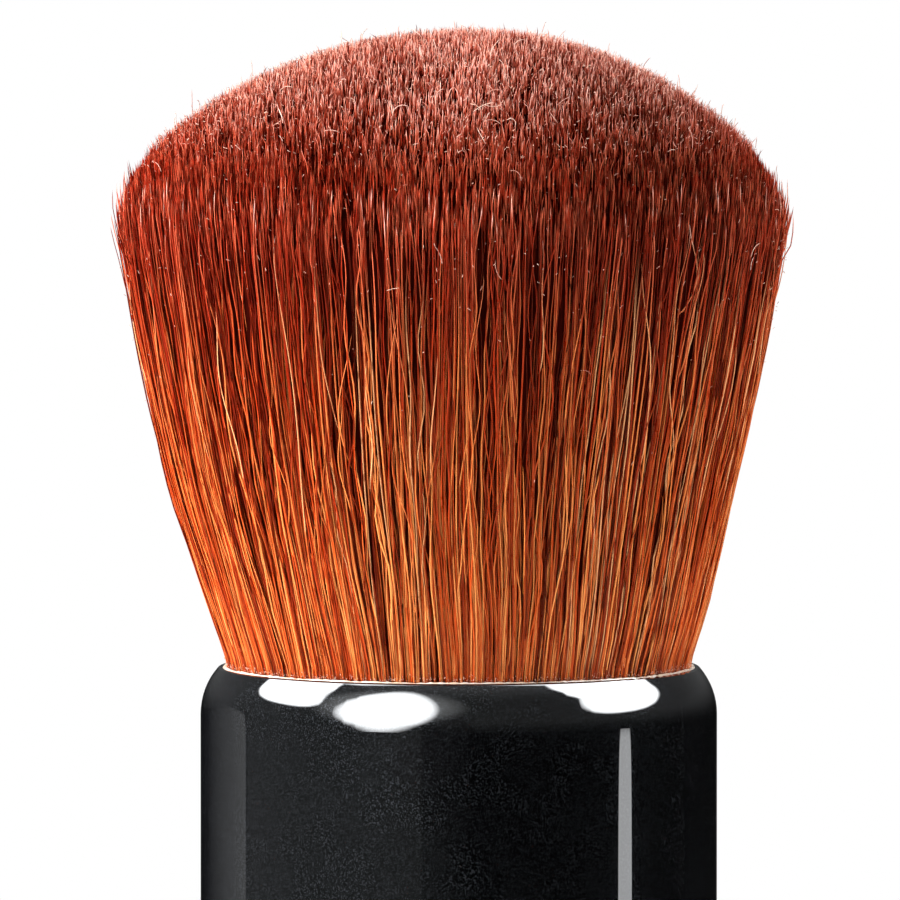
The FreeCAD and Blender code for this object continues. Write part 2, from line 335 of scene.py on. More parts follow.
@dataclass(frozen=True)
class FilamentFinish:
    """Dyed synthetic filament, with painted shade and painted highlight. Its colour follows the strand map:
    across it the filament, up it the length.

    Attributes:
        tone: What it is for.
        darkest: How light the darkest filament is, where 1 is the plain dye; below 1 is partly random tone and
            partly painted shade.
        lightest: How light the lightest filament is; above 1 is painted highlight.
        skew: How rare the light ones are, where 1 is even.
        pale_share: The share of filaments that are pale.
        tip_lift: How much lighter each tip is, which takes a deep layer's painted shade off its tips.
        stops: The dye from root to tip, ending in a pale painted sheen at the tip.
        lights: The painted highlight that the lightest filaments turn to, from root to tip.
        paces: How fast the three random values of the filaments change from one to the next.
        starts: Where the second and the third of them start.
        dye_drift: How far the dye's places differ between filaments, as a share of the length.
        warmth: The most that a filament turns to rust.
        mottle: How fast the patches change across and along the filaments.
        patchiness: How much lighter the patches make it, and what they start from.
        light_share: How soon a light filament takes the painted highlight.
        pale_strength: How pale the pale ones are.
    """

    tone: Tone
    darkest: float
    lightest: float
    skew: float
    pale_share: float = 0.0
    tip_lift: float = 0.0
    stops: Stops = DYE_AND_TIP_SHEEN
    lights: Stops = PAINTED_HIGHLIGHT
    paces: Triple = (1.37, 2.71, 3.13)
    starts: Pair = (11.0, 5.0)
    dye_drift: float = 0.14
    warmth: float = 0.35
    mottle: Pair = (0.73, 26.0)
    patchiness: Pair = (1.1, 0.45)
    light_share: float = 0.72
    pale_strength: float = 0.8
    roughness: Pair = (0.20, 0.2)
    gloss: float = 0.80
    glint: Colour = (1.0, 0.72, 0.40)
    pale: Colour = (0.92, 0.44, 0.19)
    rust: Colour = (1.0, 0.42, 0.16)
    shade_tint: Colour = (1.0, 0.12, 0.06)

    def build(self) -> bpy.types.Material:
        """The finish as a material."""
        shader, made = Shader.material(f"filament_{self.tone.value}")
        across, along = shader.axes(shader.node("ShaderNodeUVMap", {"uv_map": STRAND_MAP}, None, "UV"), "XY")
        column = (across * STRAND_COLUMNS).floor()
        first, second, third = [column * pace for pace in self.paces]
        chance = shader.white(first)
        kind = shader.white(second + self.starts[0])
        warm = shader.white(third + self.starts[1])
        # The tips keep their own place in the ramp, so that all of them end in the pale painted sheen.
        length = (along + (kind - 0.5) * self.dye_drift * along.rise(0.95, 0.6)).clamped()
        warmed = shader.mix(warm * self.warmth, shader.ramp(length, self.stops), self.rust, "SOFT_LIGHT")
        patches = {0: column * self.mottle[0], 1: along * self.mottle[1]}
        mottle = shader.noise(shader.node("ShaderNodeCombineXYZ", None, patches), 1.0, 3.0)
        # Each filament's brightness is partly random tone and partly painted light: the dark ones are painted
        # shade for filaments shaded by the others, made redder as real shade is, and those above 1 carry the
        # painted highlight.
        shade = (chance ** self.skew) * (self.lightest - self.darkest) + self.darkest
        lift = along.rise(0.88, 0.95) * self.tip_lift + 1.0
        lit = shade * (mottle * self.patchiness[0] + self.patchiness[1]) * lift
        shaded_dye = shader.mix((1.0 - lit).clamped(), warmed, self.shade_tint, "MULTIPLY")
        plain = shader.scaled(shaded_dye, lit.clamped())
        # Filaments above the plain dye turn to the painted highlight, which stands for the shine along them.
        light = ((lit - 1.0) * self.light_share).clamped()
        body = shader.mix(light, plain, shader.ramp(length, self.lights))
        is_pale = (kind > 1.0 - self.pale_share) * along.rise(0.94, 0.7) * along.rise(0.0, 0.12)
        colour = shader.mix(is_pale * mottle.rise(0.2, 0.5) * self.pale_strength, body, self.pale)
        smoothest, range_up = self.roughness
        shader.surface(
            Base_Color=colour,
            Roughness=mottle * range_up + smoothest,
            IOR=1.5,
            Specular_IOR_Level=self.gloss,
            Specular_Tint=self.glint,
        )
        return made


# The outer and inner layers are darker as painted shade for their depth, and the lightest surface and crown
# filaments carry painted highlight.
FILAMENT_FINISHES = (
    FilamentFinish(Tone.SURFACE, darkest=0.36, lightest=2.9, skew=1.9, pale_share=0.035),
    FilamentFinish(Tone.OUTER, darkest=0.12, lightest=1.7, skew=2.2, pale_share=0.01, tip_lift=0.7),
    FilamentFinish(Tone.INNER, darkest=0.05, lightest=0.70, skew=2.0, tip_lift=2.6),
    FilamentFinish(Tone.CROWN, darkest=0.12, lightest=3.3, skew=2.1),
    FilamentFinish(Tone.STRAY, 0.6, 1.2, skew=1.0, pale_share=0.25, stops=PALE_DYE_AND_GLINT, lights=PALE_DYE_AND_GLINT),
)


@dataclass(frozen=True)
class BundleFinish:
    """The inside of the tuft as painted shade: a dark form that shows between the filaments, with upright
    streaks, darker towards the top.
    """

    low: Colour = (0.036, 0.003, 0.001)
    high: Colour = (0.020, 0.0014, 0.0008)
    streak: Colour = (0.08, 0.007, 0.002)
    fineness: float = 2600.0
    stretch: float = 0.05
    fades_between: Pair = (34.0 * MM, 56.0 * MM)
    relief: float = 0.15 * MM

    def build(self) -> bpy.types.Material:
        """The finish as a material."""
        shader, made = Shader.material("painted_shade_inside")
        fine = shader.noise(shader.coordinate("Object", (1.0, 1.0, self.stretch)), self.fineness, 4.0, 0.65)
        (height,) = shader.axes(shader.coordinate("Object"), "Z")
        ground = shader.mix(height.rise(*self.fades_between), self.low, self.high)
        shader.surface(
            Base_Color=shader.mix(fine.rise(0.52, 0.75), ground, self.streak),
            Roughness=fine * 0.3 + 0.6,
            Specular_IOR_Level=0.0,
            Normal=shader.bump(fine, self.relief, 0.8),
        )
        return made


@dataclass(frozen=True)
class LacquerFinish:
    """Gloss black lacquer on drawn aluminium, with a very fine speckle under the gloss."""

    black: Colour = (0.0007, 0.0008, 0.0010)
    fleck: Colour = (0.038, 0.041, 0.046)
    underglow: Colour = (0.1, 0.1, 0.1)
    grain_scale: float = 11800.0
    cloud_scale: float = 260.0
    relief: float = 0.002 * MM

    def build(self) -> bpy.types.Material:
        """The finish as a material."""
        shader, made = Shader.material("black_lacquer")
        place = shader.coordinate("Object")
        flake = shader.noise(place, self.grain_scale, 2.0, 0.7).rise(0.51, 0.63)
        cloud = shader.noise(place, self.cloud_scale, 3.0, 0.6)
        shader.surface(
            Base_Color=shader.mix(flake * (cloud * 0.6 + 0.4), self.black, self.fleck),
            Metallic=flake * 0.6,
            Roughness=flake * 0.2 + cloud * 0.04 + 0.06,
            Specular_IOR_Level=0.03,
            Specular_Tint=self.underglow,
            Coat_Weight=1.0,
            Coat_Roughness=0.015,
            Coat_IOR=1.8,
            Normal=shader.bump(cloud, self.relief, 0.5),
        )
        return made


@dataclass(frozen=True)
class MouldedFinish:
    """Moulded plastic with a fine spark-eroded grain."""

    name: str
    colour: Colour
    worn: Colour
    roughness: float
    grain_scale: float = 5200.0
    cloud_scale: float = 160.0
    relief: float = 0.012 * MM

    def build(self) -> bpy.types.Material:
        """The finish as a material."""
        shader, made = Shader.material(self.name)
        place = shader.coordinate("Object")
        grain = shader.noise(place, self.grain_scale, 3.0, 0.6)
        cloud = shader.noise(place, self.cloud_scale, 3.0, 0.55)
        shader.surface(
            Base_Color=shader.mix(cloud.rise(0.35, 0.75) * 0.6, self.colour, self.worn),
            Roughness=grain * 0.16 + (self.roughness - 0.08),
            Normal=shader.bump(grain, self.relief, 0.6),
        )
        return made


@dataclass(frozen=True)
class TurnedFinish:
    """Bare metal with the fine rings that turning or pressing leaves round the axis."""

    name: str
    colour: Colour
    dull: Colour
    roughness: float
    ring_scale: float = 7000.0
    stain_scale: float = 220.0
    relief: float = 0.01 * MM

    def build(self) -> bpy.types.Material:
        """The finish as a material."""
        shader, made = Shader.material(self.name)
        place = shader.coordinate("Object")
        x, y, z = shader.axes(place)
        section = shader.node("ShaderNodeCombineXYZ", None, {0: (x * x + y * y) ** 0.5, 1: z})
        rings = shader.noise(section, self.ring_scale, 3.0, 0.6)
        stain = shader.noise(place, self.stain_scale, 3.0, 0.55)
        shader.surface(
            Base_Color=shader.mix(stain.rise(0.4, 0.75) * 0.7, self.colour, self.dull),
            Metallic=1.0,
            Roughness=rings * 0.2 + (self.roughness - 0.1),
            Normal=shader.bump(rings, self.relief, 0.5),
        )
        return made


@dataclass(frozen=True)
class ResinFinish:
    """Cured clear resin or glue that has soaked into pale filament roots."""

    name: str
    colour: Colour
    amber: Colour
    fineness: float
    relief: float = 0.05 * MM

    def build(self) -> bpy.types.Material:
        """The finish as a material."""
        shader, made = Shader.material(self.name)
        beads = shader.noise(shader.coordinate("Object"), self.fineness, 3.0, 0.6)
        shader.surface(
            Base_Color=shader.mix(beads.rise(0.40, 0.66), self.colour, self.amber),
            Roughness=beads * 0.2 + 0.12,
            Coat_Weight=0.6,
            Coat_Roughness=0.08,
            Normal=shader.bump(beads, self.relief, 0.7),
        )
        return made


@dataclass(frozen=True)
class ThreadFinish:
    """Waxed white thread with a twist, with painted shade in the twist's grooves."""

    colour: Colour = (0.72, 0.66, 0.54)
    groove_shade: Colour = (0.40, 0.33, 0.23)
    slope: float = 2.2
    twist_scale: float = 900.0
    relief: float = 0.03 * MM

    def build(self) -> bpy.types.Material:
        """The finish as a material."""
        shader, made = Shader.material("waxed_thread")
        place = shader.coordinate("Object", (1.0, 1.0, self.slope))
        settings = {"wave_type": "BANDS", "bands_direction": "DIAGONAL"}
        inputs = {"Vector": place, "Scale": self.twist_scale, "Distortion": 1.5}
        twist = shader.node("ShaderNodeTexWave", settings, inputs, "Fac")
        shader.surface(
            # Painted shade: the grooves of the twist are darker.
            Base_Color=shader.mix(twist, self.groove_shade, self.colour),
            Roughness=twist * 0.2 + 0.5,
            Normal=shader.bump(twist, self.relief, 0.8),
        )
        return made


# ---- Meshes ----


def group(name: str, members: Sequence[bpy.types.Object]) -> bpy.types.Collection:
    """A collection of the objects that a light is meant for.

    Args:
        name: The collection's name.
        members: The objects.

    Returns:
        The collection.
    """
    made = bpy.data.collections.new(name)
    for member in members:
        made.objects.link(member)
    return made


def add_object(name: str, content: Any) -> bpy.types.Object:
    """Links a mesh, a lamp or a camera to the scene.

    Args:
        name: The object's name.
        content: Its mesh, lamp or camera data.

    Returns:
        The new object.
    """
    made = bpy.data.objects.new(name, content)
    bpy.context.scene.collection.objects.link(made)
    return made


def add_form(
    name: str,
    vertices: Sequence[Sequence[float]],
    faces: Faces,
    finish: bpy.types.Material,
    is_smooth: bool = True,
) -> bpy.types.Object:
    """Adds a mesh from its vertices and faces.

    Args:
        name: The object's name.
        vertices: The vertices.
        faces: The corners of each face.
        finish: Its material.
        is_smooth: Whether its shading is smooth.

    Returns:
        The new object.
    """
    mesh = bpy.data.meshes.new(name)
    mesh.from_pydata(vertices, [], faces)
    mesh.polygons.foreach_set("use_smooth", np.full(len(faces), is_smooth))
    mesh.materials.append(finish)
    LOG.info("%s: %d faces", name, len(faces))
    return add_object(name, mesh)


def turned_faces(rings: int, around: int) -> Faces:
    """The faces of a closed turned form: its rings from the lowest up, then its lowest and its highest point.

    Args:
        rings: How many rings it has.
        around: How many vertices each ring has.

    Returns:
        The corners of each face.
    """
    faces: Faces = []
    steps = [(step, (step + 1) % around) for step in range(around)]
    last, foot = (rings - 1) * around, rings * around
    for near in range(0, last, around):
        far = near + around
        faces += [(near + step, near + after, far + after, far + step) for step, after in steps]
    faces += [(foot, after, step) for step, after in steps]
    faces += [(last + step, last + after, foot + 1) for step, after in steps]
    return faces


@dataclass
class Strands:
    """Filaments as closed tubes of three sides that end in a point.

    Attributes:
        points: Their centre lines, as filaments by rings by 3 coordinates. The last point is the tip.
        radii: The tube's radius at each ring, as filaments by rings.
        across: Each filament's place across the strand map, from 0 to 1.
        along: Each ring's place up the strand map, as filaments by rings.
        margin: The free share at each side of a column of the map.
    """

    points: np.ndarray
    radii: np.ndarray
    across: np.ndarray
    along: np.ndarray
    columns: int = STRAND_COLUMNS
    sides: int = 3
    margin: float = 0.1

    def _rings(self, twist: np.ndarray) -> np.ndarray:
        """The tube's corners.

        Args:
            twist: The turn of each filament's section, in radians.

        Returns:
            Filaments by rings by sides by 3 coordinates. The tip's ring is left out.
        """
        run = np.gradient(self.points, axis=1)
        run /= np.linalg.norm(run, axis=2, keepdims=True) + 1e-12
        outward = self.points * np.array([1.0, 1.0, 0.0]) + np.array([1e-6, 0.0, 0.0])
        first = outward - (outward * run).sum(axis=2, keepdims=True) * run
        first /= np.linalg.norm(first, axis=2, keepdims=True) + 1e-12
        second = np.cross(run, first)
        angles = twist[:, None] + np.arange(self.sides)[None, :] * TURN / self.sides
        cosine = np.cos(angles)[:, None, :, None]
        sine = np.sin(angles)[:, None, :, None]
        spoke = cosine * first[:, :, None, :] + sine * second[:, :, None, :]
        return (self.points[:, :, None, :] + spoke * self.radii[:, :, None, None])[:, :-1]

    def mesh(self, name: str, random: np.random.Generator) -> bpy.types.Mesh:
        """Builds the tubes.

        Args:
            name: The mesh's name.
            random: The source of each section's turn.

        Returns:
            One mesh with all the filaments and their strand map.
        """
        count, knots, _ = self.points.shape
        rings, sides = knots - 1, self.sides
        corners = self._rings(random.uniform(0.0, TURN, count))
        tips = self.points[:, -1:, :]
        per = rings * sides + 1
        vertices = np.concatenate([corners.reshape(count, rings * sides, 3), tips], axis=1).reshape(-1, 3)
        side = np.arange(sides)
        after = (side + 1) % sides
        ring = np.arange(rings - 1)[:, None] * sides
        quads = np.stack([ring + side, ring + after, ring + sides + after, ring + sides + side], axis=-1)
        last = (rings - 1) * sides
        cone = np.stack([last + side, last + after, np.full(sides, per - 1)], axis=-1)
        base = side[::-1][None, :]
        corner_list = np.concatenate([quads.reshape(-1), cone.reshape(-1), base.reshape(-1)])
        sizes = np.concatenate([np.full(quads.size // 4, 4), np.full(sides + 1, 3)])
        loops = (np.arange(count)[:, None] * per + corner_list[None, :]).reshape(-1)
        totals = np.tile(sizes, count)
        starts = np.concatenate([[0], np.cumsum(totals)[:-1]])
        mesh = bpy.data.meshes.new(name)
        mesh.vertices.add(len(vertices))
        mesh.vertices.foreach_set("co", vertices.astype(np.float32).reshape(-1))
        mesh.loops.add(len(loops))
        mesh.loops.foreach_set("vertex_index", loops.astype(np.int32))
        mesh.polygons.add(len(totals))
        mesh.polygons.foreach_set("loop_start", starts.astype(np.int32))
        mesh.polygons.foreach_set("loop_total", totals.astype(np.int32))
        mesh.update(calc_edges=True)
        mesh.polygons.foreach_set("use_smooth", np.ones(len(totals), dtype=bool))
        places = self._strand_map(rings)
        for layer in (STRAND_MAP, EXPORT_MAP):
            mesh.uv_layers.new(name=layer).data.foreach_set("uv", places.astype(np.float32).reshape(-1))
        return mesh

    def _strand_map(self, rings: int) -> np.ndarray:
        """The strand map's coordinates, one for each corner of each face.

        Args:
            rings: How many rings each tube has.

        Returns:
            Corners by 2 coordinates, in the order of the mesh's loops.
        """
        width = (1.0 - 2 * self.margin) / self.columns
        low = (np.floor(self.across * self.columns) + self.margin) / self.columns
        low = np.clip(low, 0.0, 1.0 - width)
        step = width / self.sides
        side = np.arange(self.sides)
        up = np.clip(self.along, 0.002, 0.998)
        left = low[:, None, None] + step * side[None, None, :]
        left = np.broadcast_to(left, (len(low), rings - 1, self.sides))
        right = left + step
        bottom = np.broadcast_to(up[:, : rings - 1, None], left.shape)
        top = np.broadcast_to(up[:, 1:rings, None], left.shape)
        quads = np.stack([left, bottom, right, bottom, right, top, left, top], axis=-1)
        near, far = left[:, 0, :], right[:, 0, :]
        foot = np.broadcast_to(up[:, rings - 1, None], near.shape)
        tip = np.broadcast_to(up[:, rings, None], near.shape)
        cones = np.stack([near, foot, far, foot, (near + far) / 2, tip], axis=-1)
        start = up[:, 0]
        base = np.stack([low, start, low + width, start, low + width / 2, start + 0.001], axis=-1)
        count = len(low)
        parts = [quads.reshape(count, -1), cones.reshape(count, -1), base.reshape(count, -1)]
        return np.concatenate(parts, axis=1).reshape(-1, 2)


# ---- Tuft ----


@dataclass
class TuftOutline:
    """The outline of the tuft from the mouth of the handle to the top of the crown, in metres.

    The flank is an arc that leans out from the neck. A round shoulder joins it to the shallow dome.
    """

    neck_radius: float
    mouth_height: float
    widest_radius: float
    top_height: float
    round_radius: float = 8.0 * MM
    dome_rise: float = 4.7 * MM
    flank_radius: float = 150.0 * MM
    samples: int = 600

    def __post_init__(self) -> None:
        """Works out the arcs' centres."""
        self.widest_height = self.top_height - self.dome_rise - self.round_radius
        self.round_centre = self.widest_radius - self.round_radius
        rise = self.dome_rise + self.round_radius
        self.dome_radius = (self.round_centre**2 + rise**2 - self.round_radius**2) / (2 * self.dome_rise)
        across = self.round_centre - self.neck_radius
        up = self.widest_height - self.mouth_height
        span = math.hypot(across, up)
        foot = (span**2 + 2 * self.flank_radius * self.round_radius - self.round_radius**2) / (2 * span)
        offset = math.sqrt(self.flank_radius**2 - foot**2)
        self.flank_centre = self.neck_radius + (foot * across - offset * up) / span
        self.flank_level = self.mouth_height + (foot * up + offset * across) / span
        share = self.flank_radius / (self.flank_radius - self.round_radius)
        self.flank_top = self.flank_level + (self.widest_height - self.flank_level) * share
        self._measure_crown()

    def _measure_crown(self) -> None:
        """Samples the crown from its top to its widest ring."""
        bend = math.atan2(self.round_centre, self.widest_height - (self.top_height - self.dome_radius))
        turn = np.linspace(0.0, math.pi / 2, self.samples)
        on_dome = turn < bend
        reach = np.where(on_dome, self.dome_radius, self.round_radius)
        start = np.where(on_dome, 0.0, self.round_centre)
        level = np.where(on_dome, self.top_height - self.dome_radius, self.widest_height)
        self.crown_radius = start + reach * np.sin(turn)
        self.crown_height = level + reach * np.cos(turn)

    def flank(self, height: np.ndarray) -> np.ndarray:
        """The outline's radius at a height between the mouth and the widest ring.

        Args:
            height: The heights.

        Returns:
            The radii.
        """
        level = np.clip(height, self.mouth_height, self.widest_height)
        on_flank = self.flank_centre + np.sqrt(self.flank_radius**2 - (level - self.flank_level) ** 2)
        drop = np.clip(self.widest_height - level, 0.0, self.round_radius)
        on_round = self.round_centre + np.sqrt(self.round_radius**2 - drop**2)
        return np.where(level < self.flank_top, on_flank, on_round)

    def wall(self, height: np.ndarray) -> np.ndarray:
        """The outline's radius at any height above the mouth."""
        on_crown = np.interp(height, self.crown_height[::-1], self.crown_radius[::-1])
        return np.where(height > self.widest_height, on_crown, self.flank(height))

    def spread(self, rise: np.ndarray) -> np.ndarray:
        """The share of its lean that a filament has at a share of its height, from the mouth to its tip."""
        height = self.mouth_height + np.clip(rise, 0.0, 1.0) * (self.widest_height - self.mouth_height)
        return (self.flank(height) - self.neck_radius) / (self.widest_radius - self.neck_radius)

    def crown(self, share: np.ndarray) -> tuple[np.ndarray, np.ndarray]:
        """The radius and height of the crown outside a share of the tuft's section."""
        radius = self.widest_radius * np.sqrt(np.clip(share, 0.0, 1.0))
        return radius, np.interp(radius, self.crown_radius, self.crown_height)


@dataclass
class Waves:
    """Slow sideways drift that neighbouring filaments share, which gathers them in locks with gaps."""

    random: np.random.Generator
    counts: tuple[int, ...] = (13, 23, 37, 53, 71, 97, 131, 173)
    crowding: float = 0.17
    slowest_climb: float = 3.0
    climb_by_count: float = 0.06
    inward: float = 30.0

    def __post_init__(self) -> None:
        """Draws each wave's phase and its drift up the tuft and into it."""
        size = len(self.counts)
        fastest = self.slowest_climb + self.climb_by_count * np.array(self.counts)
        self.phase = self.random.uniform(0.0, TURN, size)
        self.climb = self.random.uniform(-1.0, 1.0, size) * fastest
        self.depth = self.random.uniform(-1.0, 1.0, size) * self.inward

    def drift(self, angle: np.ndarray, rise: np.ndarray, depth: np.ndarray) -> np.ndarray:
        """The drift round the axis.

        Args:
            angle: The filaments' angles.
            rise: The share of their height.
            depth: How deep they lie in the tuft, as a share of its radius.

        Returns:
            The change of angle, in radians.
        """
        total = np.zeros(np.broadcast(angle, rise, depth).shape)
        for count, phase, climb, inward in zip(self.counts, self.phase, self.climb, self.depth):
            total += self.crowding / count * np.sin(count * angle + phase + climb * rise + inward * depth)
        return total


@dataclass(frozen=True)
class Habit:
    """How filaments stray from even places. Heights are shares of their own, and paces radians over it.

    Attributes:
        free: The height at which the root no longer holds a filament.
        splay: How far aside tips stand, how many times that the wild ones do, and the share of those.
        swing: How far filaments swing from side to side, in the same three values.
        swing_paces: The slowest and the fastest swing.
        sway: How far they sway in and out.
        sway_paces: The slowest and the fastest sway.
        least_radius: The radius below which a sideways distance turns a filament no further.
        lock: How much the locks stand out and in, how far they are turned, and how fast they climb.
        loose_share: The share of filaments that stand out of the outline.
        loose: The most that those stand out, in millimetres.
        tucked: How far the others stay inside it, in millimetres.
        ripple: How uneven that is, in millimetres, and its pace for each unit of swing and by itself.
        held_until: The height up to which the outline holds them.
        flare: How far a tip on the shoulder stands out, and the share of those that do.
        flare_from: The height that a flare starts at, and how far up it reaches.
        flare_outside: The share of the section outside which tips flare.
        less_tip_sheen: How much less of the pale end, the painted tip sheen, the flank's tips show, and the
            shares that it comes in over.
    """

    free: float = 0.3
    splay: Triple = (0.42 * MM, 3.5, 0.12)
    swing: Triple = (0.10 * MM, 2.4, 0.2)
    swing_paces: Pair = (5.0, 32.0)
    sway: float = 0.07 * MM
    sway_paces: Pair = (4.0, 12.0)
    least_radius: float = 2.0 * MM
    lock: Triple = (0.35, 1.7, 0.8)
    loose_share: float = 0.07
    loose: float = 0.24
    tucked: float = 0.2
    ripple: Triple = (0.09, 0.7, 6.0)
    held_until: float = 0.95
    flare: Pair = (0.15 * MM, 0.6)
    flare_from: Pair = (0.72, 0.28)
    flare_outside: float = 0.86
    less_tip_sheen: Triple = (0.011, 0.45, 0.35)


@dataclass(frozen=True)
class Layer:
    """Full-length filaments at one depth of the flank.

    Attributes:
        tone: Their finish.
        inside: The least share of the section that lies nearer the axis.
        outside: The greatest share.
        count: How many each quarter has.
        long_share: The share that ends above the crown's outline.
        longest: How much longer those are at most, as a share of their height.
    """

    tone: Tone
    inside: float
    outside: float
    count: int
    long_share: float = 0.0
    longest: float = 0.0


@dataclass(frozen=True)
class Crown:
    """The upper ends of the filaments that end on the crown. Shares are of the tuft's section or height."""

    count: int = 34000
    length: float = 6.0 * MM
    outer_growth: float = 1.6
    share: float = 0.83
    rings: int = 5
    closer: float = 1.9
    mean_short: float = 0.010
    lift: float = 0.006
    wild_share: float = 0.015
    wildest: float = 0.016
    tip_bend: float = 0.17 * MM
    fineness: float = 0.44


@dataclass(frozen=True)
class Strays:
    """Loose filaments that cross the others. Ranges are the least and the greatest value."""

    count: int = 120
    shortest: float = 0.3
    past_widest: float = 1.5 * MM
    cross: float = 1.5 * MM
    bow: float = 0.5 * MM
    bow_paces: Pair = (4.0, 9.0)
    wriggle: float = 0.16 * MM
    wriggle_paces: Pair = (14.0, 30.0)
    sunk: float = 0.65 * MM
    lift: Pair = (0.50, 0.70)
    arch: float = 0.4
    width: Pair = (0.75, 1.0)


@dataclass(frozen=True)
class Curls:
    """Tiny ends that have curled back, whose pale colour is a painted glint. Lengths without a unit of their
    own are in millimetres.
    """

    count: int = 3800
    rings: int = 6
    crowding: float = 0.8
    mean_drop: float = 3.2 * MM
    drop_outside: float = 0.80
    proud: float = 0.06 * MM
    heading: float = 0.8
    turn: float = 1.1
    long_share: float = 0.03
    long: Pair = (0.7, 1.9)
    short: Pair = (2.0, 0.075)
    stands_out: float = 0.12 * MM
    radii: Pair = (0.023, 0.019)


@dataclass(frozen=True)
class Flecks:
    """Tiny drops of dried glue above the lip. Lengths without a unit of their own are in millimetres."""

    count: int = 1300
    rings: int = 4
    above: float = 0.10 * MM
    mean_height: float = 0.12 * MM
    length: Pair = (0.02, 0.08)
    proud: float = 0.10 * MM
    slant: float = 0.3
    radii: Pair = (0.016, 0.030)


